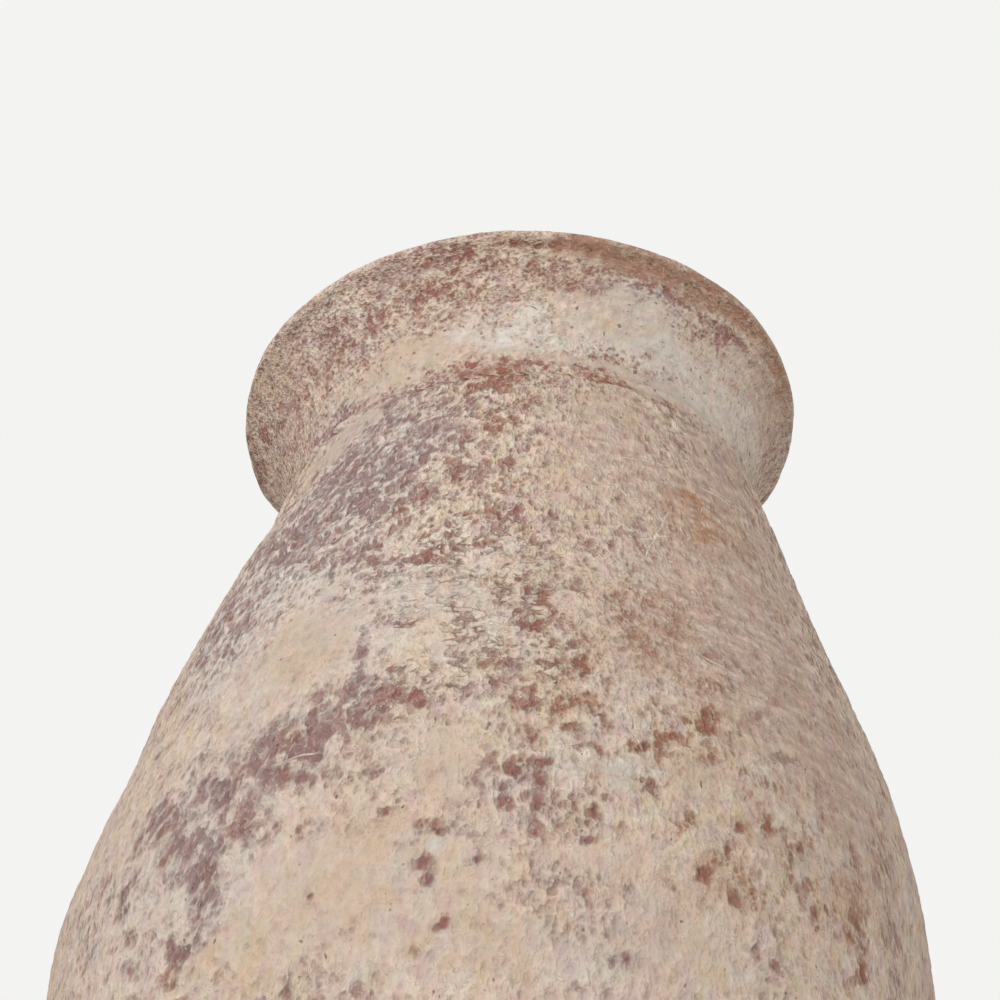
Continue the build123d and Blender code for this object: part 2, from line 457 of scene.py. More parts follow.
def seenPoints(wall):
    # the points of the wall that face the camera: their pixels, how far off they are,
    # and their turn, way, height and radius
    leaned = leanedPlaces(plain)
    normals = np.empty(len(plain) * 3, np.float32)
    wall.data.vertices.foreach_get("normal", normals)
    facing = ((np.array(cameraAt) - leaned) * normals.reshape(-1, 3)).sum(1) > 0
    seen = np.nonzero(outsideOf & facing & (np.abs(turnOf) < finding["turns"]))[0]
    away = (leaned[seen] - cameraAt) @ np.array(cameraAim)
    focal = view["photo"] * view["lens"] / view["sensor"]
    pixels = view["photo"] / 2 + focal * away[:, :2] * (1, -1) / -away[:, 2:]
    return pixels, -away[:, 2], np.column_stack([turnOf, wayOf, heightOf, radiusOf])[seen]


seenPixels, seenDepth, seenPlaces = seenPoints(wall)


def spotOnWall(x, y):
    # turn, way, height and radius of the wall under a pixel, and their change from pixel to pixel,
    # right and down
    step = seenPixels - (x, y)
    near = np.argpartition(np.hypot(*step.T), finding["points"])[:finding["points"]]
    near = near[seenDepth[near] < seenDepth[near].min() + finding["farther"]]
    around = np.column_stack([np.ones(len(near)), step[near]])
    return np.linalg.lstsq(around, seenPlaces[near], rcond=None)[0]


def markOnWall(x, y, wide, high, turn, strength):
    # turn from the front in degrees, height, half length and half width in mm, tilt of the long side,
    # strength
    spot, right, down = spotOnWall(x, y)
    c, s = math.cos(math.radians(turn)), math.sin(math.radians(turn))
    drawn = np.array([[c * wide, -s * high], [s * wide, c * high]])
    flat = 1000 * np.array([np.radians([right[0], down[0]]) * spot[3], [right[1], down[1]]])
    axes, halves = np.linalg.svd(flat @ drawn)[:2]
    tilt = math.degrees(math.atan2(axes[1, 0], axes[0, 0]))
    return spot[0], spot[2] * 1000, halves[0], halves[1], tilt, strength


# marks on the front, read off the photo, in its pixels: x, y, half width, half height,
# turn on screen, strength
photoMarks = {
    "bare": [
        # under the lip and on the flare, left half
        (450, 256, 36, 8, -7, 0.8), (435, 291, 40, 13, -8, 0.6), (395, 281, 30, 13, -27, 0.4),
        (500, 268, 30, 5, 0, 0.45), (548, 262, 50, 4, 2, 0.4), (525, 244, 34, 4, 0, 0.5),
        (592, 248, 40, 5, 7, 0.6), (335, 330, 60, 40, -42, 0.15), (288, 400, 28, 60, 12, 0.2),
        (283, 410, 5, 15, 8, 0.9), (267, 440, 5, 13, -8, 0.9), (335, 329, 15, 8, -30, 0.7),
        (374, 322, 14, 7, -30, 0.7), (262, 472, 7, 24, -18, 0.45), (356, 352, 16, 8, -45, 0.5),
        (318, 365, 14, 9, -45, 0.45), (300, 352, 12, 12, -45, 0.35),
        # dark red line under the lip band, right half
        (575, 243, 20, 5, 4, 0.8), (598, 250, 24, 5, 8, 0.6), (628, 270, 14, 4, 22, 0.5),
        (645, 278, 14, 4, 26, 0.6), (662, 290, 14, 5, 30, 0.85), (680, 303, 12, 4, 34, 0.6),
        (706, 320, 12, 4, 36, 0.55), (722, 331, 12, 5, 38, 0.85), (738, 345, 10, 5, 45, 0.9),
        (752, 362, 8, 4, 55, 0.6), (768, 388, 6, 22, -22, 0.4), (575, 290, 32, 9, 4, 0.3),
        (640, 297, 42, 10, 24, 0.3), (770, 440, 8, 30, 12, 0.2), (645, 352, 8, 6, 0, 0.4),
        # along the neck's foot
        (488, 368, 34, 5, -4, 0.55), (525, 366, 22, 4, 0, 0.4), (455, 377, 22, 6, -12, 0.6),
        # (615, 379) and (662, 402): reddish line along the bead on the right, red slip with painted shade of
        # the bead's lower face
        (615, 379, 28, 3, 12, 0.42), (662, 402, 18, 3, 32, 0.3), (330, 430, 34, 4, -42, 0.65),
        (392, 397, 26, 5, -24, 0.7), (690, 420, 16, 3, 45, 0.25),
        # red speckle on the upper shoulder
        (492, 388, 26, 17, 0, 0.42), (502, 424, 15, 9, 0, 0.7), (470, 450, 25, 12, 0, 0.4),
        (490, 470, 42, 10, 0, 0.42), (450, 436, 38, 25, -20, 0.4), (505, 505, 22, 26, 0, 0.35),
        (545, 398, 20, 10, 10, 0.35), (415, 470, 30, 16, -25, 0.45),
        # left shoulder
        (385, 447, 68, 30, -36, 0.36), (340, 492, 60, 26, -46, 0.40), (300, 545, 44, 28, -50, 0.40),
        (405, 503, 34, 14, -12, 0.42), (250, 585, 16, 46, 28, 0.4), (218, 636, 14, 50, 28, 0.35),
        (268, 560, 22, 10, -50, 0.5), (350, 560, 26, 10, -20, 0.3), (362, 652, 6, 22, 0, 0.75),
        (368, 690, 22, 9, -16, 0.55), (335, 690, 16, 8, 0, 0.3), (420, 560, 30, 5, -12, 0.4),
        (440, 575, 28, 4, -10, 0.4), (400, 620, 20, 5, 0, 0.35), (470, 615, 26, 6, 6, 0.3),
        (520, 590, 30, 10, 0, 0.3), (540, 625, 26, 14, 0, 0.35), (480, 690, 34, 9, 10, 0.45),
        (420, 700, 20, 7, 5, 0.4), (412, 625, 16, 4, -8, 0.5), (435, 600, 22, 3, -6, 0.45),
        (448, 640, 30, 7, 4, 0.35), (515, 612, 18, 12, 0, 0.36), (538, 602, 14, 9, 0, 0.40),
        (470, 657, 30, 7, 0, 0.36), (505, 668, 20, 9, 0, 0.38), (540, 645, 16, 18, 0, 0.30),
        (398, 562, 26, 4, -14, 0.42), (455, 550, 30, 3, -6, 0.42), (478, 582, 24, 3, 0, 0.40),
        # maroon band across the belly's left
        (300, 744, 52, 15, -14, 0.75), (288, 774, 22, 9, -10, 0.9), (372, 702, 34, 9, -12, 0.5),
        (346, 722, 30, 12, -14, 0.5), (255, 760, 20, 16, -30, 0.55), (390, 688, 26, 9, 18, 0.6),
        (215, 800, 20, 26, 25, 0.35), (248, 822, 9, 22, 18, 0.7), (206, 876, 9, 20, 12, 0.9),
        (210, 848, 12, 14, 10, 0.4), (201, 911, 5, 15, 22, 0.45), (179, 951, 14, 15, 15, 0.8),
        (164, 977, 6, 10, 20, 0.6), (127, 898, 7, 18, 8, 0.7), (131, 937, 6, 8, 0, 0.6),
        (126, 972, 5, 12, 0, 0.4), (164, 820, 8, 22, 28, 0.5), (178, 836, 6, 14, 28, 0.45),
        (150, 850, 30, 40, 25, 0.2), (90, 930, 14, 50, 18, 0.22), (276, 830, 18, 12, 0, 0.4),
        (305, 835, 14, 10, 0, 0.35),
        # belly, middle
        (424, 871, 8, 15, 10, 0.7), (440, 828, 9, 6, 10, 0.95), (444, 928, 9, 8, 0, 0.7),
        (316, 895, 4, 9, -15, 0.6), (284, 985, 5, 16, 0, 0.6), (476, 860, 10, 9, 0, 0.5),
        (387, 811, 7, 5, 0, 0.55), (380, 772, 6, 4, 0, 0.75), (490, 760, 7, 7, 0, 0.7),
        (350, 990, 24, 10, 20, 0.3), (345, 925, 12, 10, 0, 0.25), (418, 955, 8, 5, -20, 0.4),
        (517, 767, 13, 12, 0, 1.0), (541, 766, 12, 4, -6, 0.8), (493, 756, 6, 7, 0, 0.75),
        (543, 805, 9, 6, 0, 0.8), (571, 805, 9, 8, 0, 0.8), (599, 808, 7, 6, 0, 0.7),
        (543, 783, 7, 5, 0, 0.6), (595, 838, 11, 4, -5, 0.6), (500, 800, 10, 16, 0, 0.4),
        (535, 828, 6, 4, 0, 0.5), (553, 919, 4, 9, 20, 0.7), (618, 959, 7, 12, 0, 0.55),
        (568, 885, 9, 6, 0, 0.5), (552, 882, 6, 12, 0, 0.5), (539, 873, 5, 10, 10, 0.5),
        (625, 890, 8, 7, 0, 0.35), (595, 915, 8, 8, 0, 0.25), (580, 990, 12, 6, 0, 0.4),
        # rusty marks, right of the middle
        (580, 670, 13, 11, 0, 0.8), (554, 679, 8, 6, 0, 0.75), (582, 694, 4, 3, 0, 0.8),
        (551, 716, 8, 8, 0, 0.6), (573, 730, 18, 4, 8, 0.5), (673, 735, 11, 5, 10, 0.8),
        (704, 723, 12, 8, 0, 0.8), (638, 743, 11, 6, 15, 0.8), (669, 757, 8, 5, 0, 0.6),
        (652, 788, 10, 6, 40, 0.8), (682, 822, 11, 11, 0, 0.8), (633, 750, 14, 4, 25, 0.6),
        (588, 750, 16, 4, 25, 0.6), (710, 686, 14, 10, 40, 0.55), (717, 658, 10, 9, 0, 0.45),
        (577, 640, 10, 6, 0, 0.5), (670, 635, 10, 6, 0, 0.4), (700, 637, 8, 5, 0, 0.4),
        (640, 612, 5, 8, 0, 0.4), (605, 588, 4, 3, 0, 0.7), (615, 500, 4, 4, 0, 0.6),
        (787, 758, 10, 5, 10, 0.7), (754, 716, 5, 5, 0, 0.6), (741, 770, 13, 4, 15, 0.4),
        (545, 660, 14, 12, 0, 0.35), (530, 700, 14, 10, 0, 0.35),
        # belly, right
        (778, 759, 10, 6, 0, 0.6), (771, 822, 10, 9, 35, 0.5), (796, 850, 14, 11, 30, 0.42),
        (705, 876, 11, 8, 10, 0.6), (731, 899, 18, 5, 36, 0.45), (759, 905, 11, 6, -20, 0.4),
        (739, 832, 4, 7, 0, 0.6), (725, 862, 12, 12, 0, 0.3), (756, 939, 8, 12, -15, 0.5),
        (776, 966, 8, 8, 0, 0.7), (768, 976, 4, 4, 0, 0.6), (859, 920, 5, 22, -14, 0.55),
        (866, 940, 5, 7, 0, 0.75), (853, 876, 4, 18, -20, 0.45), (868, 972, 5, 14, 0, 0.55),
        (845, 848, 6, 12, -20, 0.45), (885, 870, 10, 40, -15, 0.22), (900, 950, 8, 40, -8, 0.25),
        (820, 930, 8, 14, 0, 0.35), (820, 800, 10, 20, -25, 0.25), (770, 790, 12, 6, 30, 0.45),
        # wide thin patches
        (290, 750, 90, 38, -18, 0.32), (330, 715, 60, 22, -20, 0.28), (205, 815, 46, 44, 28, 0.26),
        (180, 850, 40, 50, 25, 0.18), (400, 690, 50, 18, 0, 0.25), (690, 740, 70, 40, 15, 0.2),
        (745, 830, 60, 50, 30, 0.10), (800, 890, 40, 50, -10, 0.08), (850, 920, 26, 50, -14, 0.08),
        (560, 690, 50, 40, 0, 0.25), (700, 870, 40, 26, 10, 0.14), (640, 620, 60, 30, 10, 0.18),
        (510, 780, 50, 40, 0, 0.26), (590, 810, 50, 24, 0, 0.2), (560, 890, 50, 30, 0, 0.18),
        (610, 950, 50, 40, 0, 0.16), (200, 940, 36, 44, 0, 0.18), (420, 870, 20, 40, 0, 0.22),
        (197, 905, 8, 36, 16, 0.35),
    ],
    "violet": [
        (390, 440, 75, 45, -36, 0.9), (345, 490, 70, 40, -46, 1.0), (300, 545, 50, 40, -50, 1.0),
        (250, 590, 30, 60, 30, 0.9), (215, 650, 30, 60, 28, 0.8), (370, 600, 60, 40, -30, 0.6),
        (362, 655, 20, 40, 0, 0.8), (300, 740, 70, 45, -14, 0.45), (215, 810, 60, 60, 28, 0.7),
        (200, 890, 30, 60, 15, 0.55), (120, 920, 50, 80, 15, 0.6), (330, 335, 60, 40, -42, 0.35),
        (400, 275, 40, 18, -20, 0.6), (640, 297, 50, 13, 24, 0.9), (600, 930, 60, 50, 0, 0.45),
        (500, 800, 40, 40, 0, 0.4), (350, 960, 60, 40, 0, 0.4), (755, 940, 25, 30, 0, 0.6),
        (420, 870, 25, 30, 0, 0.4), (330, 430, 40, 10, -42, 0.7), (290, 745, 110, 50, -18, 0.35),
        (180, 850, 60, 70, 25, 0.5),
    ],
    "rust": [
        (580, 680, 40, 30, 0, 0.8), (560, 720, 40, 30, 0, 0.6), (690, 735, 50, 40, 10, 0.85),
        (640, 770, 40, 40, 20, 0.7), (702, 521, 32, 22, 25, 0.9), (738, 548, 22, 13, 30, 0.5),
        # (615, 379) and (662, 402): reddish line along the bead on the right, red slip with painted shade of
        # the bead's lower face
        (615, 379, 34, 6, 12, 0.5), (662, 402, 24, 6, 32, 0.5), (502, 268, 34, 7, 0, 0.6),
        (505, 242, 70, 5, 0, 0.6), (500, 385, 40, 20, 0, 0.55), (500, 425, 25, 18, 0, 0.6),
        (505, 490, 30, 20, 0, 0.4), (303, 652, 14, 30, 42, 0.35), (770, 830, 40, 40, 20, 0.5),
        (860, 930, 20, 40, -10, 0.5), (680, 822, 16, 16, 0, 0.8), (335, 362, 14, 10, -45, 0.5),
        (460, 290, 20, 12, 0, 0.4), (710, 680, 30, 24, 30, 0.6), (745, 830, 70, 60, 30, 0.6),
        (800, 890, 50, 60, 0, 0.55), (850, 920, 40, 60, -14, 0.5), (700, 870, 50, 40, 10, 0.55),
        (640, 620, 60, 40, 10, 0.5), (540, 615, 24, 26, 0, 0.5),
    ],
    "lime": [
        (520, 336, 62, 17, 3, 0.9), (470, 330, 40, 14, -10, 0.5), (600, 345, 46, 18, 14, 0.65),
        (665, 362, 40, 20, 38, 0.75), (740, 440, 22, 40, -16, 0.6), (690, 395, 44, 24, 45, 0.6),
        (745, 385, 34, 26, 50, 0.3), (650, 310, 50, 14, 24, 0.35), (620, 780, 24, 14, 20, 0.7),
        (655, 775, 12, 8, 0, 0.7), (434, 846, 8, 9, 30, 1.0), (450, 570, 40, 16, -8, 0.35),
        (750, 640, 40, 40, 30, 0.45), (640, 560, 40, 30, 10, 0.35), (560, 770, 30, 16, 0, 0.35),
        (745, 350, 20, 16, 45, 0.4), (800, 850, 30, 40, 0, 0.4), (275, 585, 30, 40, 45, 0.45),
        (220, 645, 18, 50, 28, 0.5), (640, 700, 40, 20, 10, 0.3), (455, 600, 90, 50, 0, 0.2),
    ],
    "smooth": [
        (315, 632, 26, 52, 32, 0.75), (255, 690, 26, 46, 30, 0.45), (400, 905, 130, 70, 4, 0.6),
        (300, 880, 50, 60, 10, 0.45), (455, 760, 34, 26, 0, 0.6), (470, 850, 40, 20, 0, 0.35),
        (655, 935, 60, 45, 10, 0.65), (434, 846, 8, 8, 30, 1.0), (560, 950, 70, 40, 0, 0.35),
        (620, 862, 60, 22, 8, 0.5), (352, 432, 66, 8, -42, 0.8), (480, 345, 90, 22, 0, 0.5),
        (610, 320, 70, 26, 14, 0.5), (700, 385, 56, 44, 42, 0.3), (740, 440, 34, 50, -14, 0.2),
        # (645, 388): pale line along the top of the bead on the right, a painted highlight
        (640, 330, 60, 24, 24, 0.25), (645, 388, 46, 3, 26, 0.6), (410, 360, 50, 14, -26, 0.5),
        (360, 395, 34, 14, -42, 0.4), (620, 420, 50, 26, 18, 0.4), (700, 770, 34, 20, 20, 0.4),
        (612, 782, 24, 12, 20, 0.6), (110, 840, 40, 40, 30, 0.25), (700, 970, 70, 40, 0, 0.4),
        (230, 950, 40, 50, 0, 0.5), (400, 630, 40, 10, 0, 0.3), (460, 600, 50, 12, 4, 0.35),
        (440, 650, 34, 9, 0, 0.4), (410, 590, 26, 9, -12, 0.35), (555, 560, 26, 8, 0, 0.25),
    ],
    "peach": [
        (360, 870, 70, 50, 0, 0.6), (300, 940, 50, 50, 0, 0.6), (460, 760, 40, 30, 0, 0.7),
        (600, 870, 70, 40, 0, 0.5), (500, 930, 40, 60, 0, 0.5), (330, 350, 40, 20, -42, 0.3),
        (540, 600, 30, 20, 0, 0.3), (690, 920, 50, 50, 0, 0.4), (560, 700, 30, 20, 0, 0.3),
    ],
    "tan": [
        (310, 640, 24, 50, 34, 0.8), (352, 432, 66, 9, -42, 0.9), (690, 770, 36, 22, 20, 0.85),
        (400, 365, 60, 16, -26, 0.6), (340, 400, 40, 16, -42, 0.5), (760, 330, 50, 12, 46, 0.6),
        (640, 262, 60, 9, 18, 0.6), (360, 830, 50, 20, 0, 0.5), (470, 590, 60, 30, 0, 0.35),
        (820, 870, 20, 40, -20, 0.3), (380, 300, 50, 14, -30, 0.3), (560, 250, 60, 6, 4, 0.4),
        (255, 400, 6, 60, 12, 0.5), (500, 236, 90, 3, 0, 0.5),
    ],
    "haze": [
        (640, 475, 70, 34, 16, 0.75), (720, 560, 60, 80, -20, 0.95), (600, 420, 60, 34, 10, 0.6),
        (800, 700, 40, 100, -26, 0.8), (690, 610, 60, 40, 10, 0.55), (860, 830, 30, 80, -18, 0.6),
        (720, 480, 40, 40, 30, 0.9), (570, 480, 40, 40, 0, 0.4), (750, 690, 44, 50, 0, 0.7),
        (900, 930, 16, 60, -10, 0.45), (760, 490, 12, 20, -20, 0.8), (660, 660, 40, 30, 0, 0.45),
        (580, 290, 40, 12, 4, 0.4), (400, 275, 40, 16, -20, 0.4), (290, 390, 30, 50, 10, 0.4),
        (700, 290, 50, 8, 38, 0.5), (770, 395, 22, 56, -14, 0.95), (700, 430, 30, 16, 50, 0.3),
        (752, 360, 20, 14, 50, 0.5), (640, 256, 40, 5, 20, 0.45), (760, 600, 50, 60, -24, 0.6),
        (610, 540, 80, 60, 8, 0.4), (650, 640, 70, 50, 8, 0.3), (830, 760, 30, 60, -24, 0.6),
        (702, 521, 26, 18, 25, 0.9), (780, 842, 36, 22, 35, 0.5), (852, 900, 12, 46, -16, 0.6),
        (735, 892, 36, 18, 25, 0.4), (765, 800, 30, 14, 20, 0.25),
    ],
    "whole": [
        (320, 320, 60, 34, -45, 0.35), (505, 242, 90, 6, 0, 0.1), (265, 430, 14, 60, 0, 0.3),
        (450, 275, 60, 24, -10, 0.2), (720, 400, 44, 56, 30, 0.75), (640, 330, 60, 24, 22, 0.6),
        (520, 336, 64, 18, 3, 0.3), (560, 310, 60, 20, 6, 0.3), (755, 430, 24, 44, 10, 0.5),
        # (645, 388): pale line along the top of the bead on the right, a painted highlight
        (645, 388, 46, 3, 26, 0.8), (488, 374, 60, 8, -4, 0.2), (430, 350, 50, 12, -24, 0.3),
        (440, 600, 60, 18, 0, 0.5), (410, 640, 50, 14, 0, 0.5), (470, 560, 60, 14, -8, 0.5),
        (460, 615, 90, 44, 0, 0.3), (690, 790, 60, 40, 20, 0.3), (660, 850, 60, 30, 10, 0.3),
        (600, 450, 60, 40, 10, 0.3), (434, 846, 10, 10, 0, 0.6), (480, 440, 60, 50, 0, 0.3),
        (275, 585, 30, 36, 45, 0.3), (460, 630, 90, 56, 0, 0.1),
    ],
    "flaky": [
        (440, 545, 90, 40, -12, 0.8), (460, 610, 90, 40, 0, 1.0), (430, 660, 60, 40, 0, 0.7),
        (540, 560, 50, 50, 0, 0.5), (380, 500, 60, 30, -30, 0.6), (300, 560, 50, 30, -48, 0.5),
        (350, 470, 50, 20, -44, 0.5), (520, 660, 50, 40, 0, 0.5), (470, 480, 40, 30, 0, 0.5),
    ],
}
# pale scratches, from one end to the other
photoScratches = [
    ((620, 458), (676, 469)), ((652, 507), (642, 516)), ((666, 516), (642, 556)), ((703, 489), (754, 521)),
    ((716, 491), (748, 515)), ((603, 479), (628, 497)), ((628, 705), (636, 735)), ((276, 765), (316, 752)),
    ((640, 748), (628, 728)), ((700, 655), (735, 676)), ((429, 851), (440, 841)), ((432, 853), (442, 844)),
    ((690, 470), (722, 490)), ((640, 540), (668, 536)),
]
marks = {kind: [markOnWall(*row) for row in rows] for kind, rows in photoMarks.items()}

# marks scattered over the sides that the photo doesn't show: how many, half lengths in mm, strengths
scatter = [
    ("bare", 560, 2.2, 11, 0.35, 0.95), ("bare", 130, 12, 40, 0.15, 0.42), ("violet", 80, 14, 40, 0.4, 1.0),
    ("rust", 80, 5, 26, 0.4, 0.85), ("lime", 50, 6, 22, 0.3, 0.8), ("smooth", 110, 8, 42, 0.3, 0.75),
    ("peach", 60, 12, 34, 0.3, 0.7), ("tan", 50, 8, 26, 0.3, 0.8), ("haze", 34, 20, 48, 0.4, 0.9),
    ("flaky", 40, 14, 36, 0.4, 0.9),
]
# how they lie: heights in mm, turns in degrees, and the share of the bare ones that comes in clusters
spread = {"seed": 41, "clusters": 46, "clusterLow": 10, "clusterHigh": 570, "clustered": 0.75,
          "byTurn": 9, "byHeight": 16, "low": 6, "high": 576, "lowest": 4, "highest": 577,
          "tilt": 22, "slim": (1.1, 2.6)}
# the part of the wall that the photo shows, left free of them
front = {"above": 255, "bodyTurn": 78, "rimAbove": 512, "rimTurn": 100, "scratchTurn": 62}


def scatterMarks(rng):
    # patches of bare clay come in clusters, the other kinds lie anywhere
    s = spread
    centres = [(rng.uniform(-180, 180), rng.uniform(s["clusterLow"], s["clusterHigh"]))
               for i in range(s["clusters"])]
    for kind, count, small, large, weak, strong in scatter:
        placed = 0
        while placed < count:
            turn, height = rng.uniform(-180, 180), rng.uniform(s["low"], s["high"])
            if kind == "bare" and rng.uniform() < s["clustered"]:
                centre = centres[rng.randint(len(centres))]
                turn = (centre[0] + rng.normal(0, s["byTurn"]) + 180) % 360 - 180
                height = float(np.clip(centre[1] + rng.normal(0, s["byHeight"]), s["lowest"], s["highest"]))
            long = small * (large / small) ** rng.uniform()
            tilt = rng.normal(0, s["tilt"])
            strength = rng.uniform(weak, strong)
            short = long / rng.uniform(*s["slim"])
            frontTurn = front["bodyTurn"] if height < front["rimAbove"] else front["rimTurn"]
            if height > front["above"] and abs(turn) < frontTurn:
                continue
            marks[kind].append((turn, height, long, short, tilt, strength))
            placed += 1


# the points in order along the outside, those of the inside last
farWay = 9.0
outsideWay = np.where(outsideOf, wayOf, farWay)
sortedBy = np.argsort(outsideWay, kind="stable")
sortedWay = outsideWay[sortedBy]


def ripple(rng, size, count=14, least=0.6, most=1.7, phase=6.28):
    # smooth uneven field over the wall, mostly within -1 to 1.5
    total = np.zeros(len(plain))
    for i in range(count):
        aim = rng.normal(size=3)
        aim *= 2 * math.pi / size * rng.uniform(least, most) / np.linalg.norm(aim)
        total += np.sin(plain[:, 0] * aim[0] + plain[:, 1] * aim[1] + wayOf * aim[2] + rng.uniform(0, phase))
    return total / math.sqrt(count / 2)


# how far a mark's edge strays, in mm, by wide and by close waves, how patchy the bare marks are,
# and how soft the edges
ragged = {"seed": 23, "wide": 0.026, "wideBy": 2.6, "close": 0.0085, "closeBy": 1.5, "patch": 0.0065,
          "patchy": 0.42, "patchLow": 0.1, "patchHigh": 1.5, "strayLeast": 0.25, "strayFull": 7,
          "inner": 0.35, "outer": 1.6, "reach": 1.7, "margin": 4}
waves = np.random.RandomState(ragged["seed"])


def strayField(rng):
    return ragged["wideBy"] * ripple(rng, ragged["wide"]) + ragged["closeBy"] * ripple(rng, ragged["close"])


strayAcross = strayField(waves)
strayUp = strayField(waves)
patchOf = 1.0 + ragged["patchy"] * ripple(waves, ragged["patch"])
patchOf = np.clip(patchOf, ragged["patchLow"], ragged["patchHigh"])


def paint(rows, patchy):
    # one kind of mark as a ragged, soft-edged field, 0 to 1, on the outside of the wall
    field = np.zeros(len(sortedBy))
    for turn, height, long, short, tilt, strength in rows:
        way, reach = wayAt(height / 1000), (ragged["reach"] * long + ragged["margin"]) / 1000
        stray = min(1, max(ragged["strayLeast"], short / ragged["strayFull"]))
        low, high = np.searchsorted(sortedWay, (way - reach, way + reach))
        near = sortedBy[low:high]
        away = mmFrom(turn, near) + stray * strayAcross[near]
        up = (wayOf[near] - way) * 1000 + stray * strayUp[near]
        c, s = math.cos(math.radians(tilt)), math.sin(math.radians(tilt))
        off = np.hypot((away * c + up * s) / long, (up * c - away * s) / short)
        shown = np.clip(strength * patchOf[near], 0, 1) if patchy else strength
        left = 1 - shown * (1 - soften(ragged["inner"], ragged["outer"], off))
        field[low:high] = 1 - (1 - field[low:high]) * left
    out = np.zeros(len(field))
    out[sortedBy] = field
    return out


# scratches on the unseen sides, in mm: how many, where, how steep and how long,
# and how every scratch waves and fades at its ends
scratches = {"seed": 7, "more": 26, "low": 40, "high": 500, "steep": 0.8, "short": 4, "long": 16,
             "radius": 140, "near": 60, "wave": 0.25, "waveStep": 0.6, "fadeIn": (-3, 2), "fadeOut": (-2, 3),
             "least": 0.01, "far": 9.0}


def drawScratches(rng):
    # distance in mm from the nearest scratch, and how strong the scratch is there
    s = scratches
    lines = [[spotOnWall(*end)[0, [0, 2]] * (1, 1000) for end in ends] for ends in photoScratches]
    while len(lines) < len(photoScratches) + s["more"]:
        turn, height = rng.uniform(-180, 180), rng.uniform(s["low"], s["high"])
        way, long = rng.normal(0, s["steep"]), rng.uniform(s["short"], s["long"])
        if height < front["above"] or abs(turn) > front["scratchTurn"]:
            endTurn = turn + math.degrees(long * math.cos(way) / s["radius"])
            lines.append(((turn, height), (endTurn, height + long * math.sin(way))))
    distance, strength = np.full(len(plain), s["far"]), np.zeros(len(plain))
    for (turn, height), (endTurn, endHeight) in lines:
        way, endWay = wayAt(height / 1000), wayAt(endHeight / 1000)
        away = mmFrom(turn)
        up = (wayOf - way) * 1000
        near = outsideOf & (np.abs(up) < s["near"]) & (np.abs(away) < s["near"])
        run = np.radians(endTurn - turn) * np.mean(radiusOf[near]) * 1000
        rise = (endWay - way) * 1000
        long = math.hypot(run, rise)
        along = (away[near] * run + up[near] * rise) / long
        across = (up[near] * run - away[near] * rise) / long + s["wave"] * np.sin(along * s["waveStep"])
        fadeFrom, fadeTo = s["fadeOut"]
        fade = soften(*s["fadeIn"], along) * (1 - soften(long + fadeFrom, long + fadeTo, along))
        closer = np.nonzero(near)[0]
        take = (np.abs(across) < np.abs(distance[closer])) & (fade > s["least"])
        distance[closer[take]] = across[take]
        strength[closer[take]] = fade[take]
    return np.clip(distance, -s["far"], s["far"]), strength


def keep(name, kind, values):
    attribute = wall.data.attributes.new(name, kind, "POINT")
    field = {"FLOAT": "value", "FLOAT_VECTOR": "vector", "FLOAT_COLOR": "color"}[kind]
    attribute.data.foreach_set(field, np.ascontiguousarray(values, np.float32).ravel())


scatterMarks(np.random.RandomState(spread["seed"]))
# dark line painted along the crease over the bead at the neck, partly the red slip there and partly painted
# shade in the crease; broken, and fainter on the right, where a smooth strip lies on it
crease = {"from": -96, "to": 100, "step": 4, "long": 6.0, "height": 527.8, "short": 1.4, "left": 0.62,
          "right": 0.22, "middle": 6, "wave": 6.3, "stripHeight": 529.5, "stripShort": 3.0, "strip": 0.6}
for turn in range(crease["from"], crease["to"], crease["step"]):
    strength = crease["left"] if turn < crease["middle"] else crease["right"]
    strength *= float(unevenRound(turn, crease["wave"]))
    marks["bare"].append((turn, crease["height"], crease["long"], crease["short"], 0, strength))
    if turn > crease["middle"]:
        marks["smooth"].append((turn, crease["stripHeight"], crease["long"], crease["stripShort"], 0,
                                crease["strip"]))
# tan band along the lip, on the right: half width and strength of each kind of mark in it
lipBand = {"from": 8, "to": 76, "step": 4, "height": 574, "long": 8,
           "kinds": {"tan": (4.0, 0.9), "haze": (5.0, 1.0), "rust": (4.5, 0.4), "bare": (4.0, 0.25)}}
for turn in range(lipBand["from"], lipBand["to"], lipBand["step"]):
    for kind, (short, strength) in lipBand["kinds"].items():
        marks[kind].append((turn, lipBand["height"], lipBand["long"], short, 0, strength))
fields = {kind: paint(rows, kind == "bare") for kind, rows in marks.items()}
wholeShare = 0.5    # what the whole places take from the bare ones
fields["bare"] -= wholeShare * fields["whole"]
# the belly is smoother all round than the shoulder
belly = {"smooth": 0.5, "from": 0.33, "to": 0.44}
bellyShare = belly["smooth"] * (1 - soften(belly["from"], belly["to"], heightOf)) * outsideOf
fields["smooth"] = 1 - (1 - fields["smooth"]) * (1 - bellyShare)
print("marks painted:", {kind: len(rows) for kind, rows in marks.items()})

handShape()
# where the relief changes, in metres: about the seat, towards the lip, at the foot's edge and over the floor
zones = {"rim": 0.004, "lipFrom": 0.040, "lipTo": 0.058, "footFrom": 0.0005, "footTo": 0.006, "floor": 0.002}
onRim = soften(j["seatHeight"] - zones["rim"], j["seatHeight"] + zones["rim"], heightOf)
nearLip = soften(j["seatHeight"] + zones["lipFrom"], j["seatHeight"] + zones["lipTo"], heightOf)
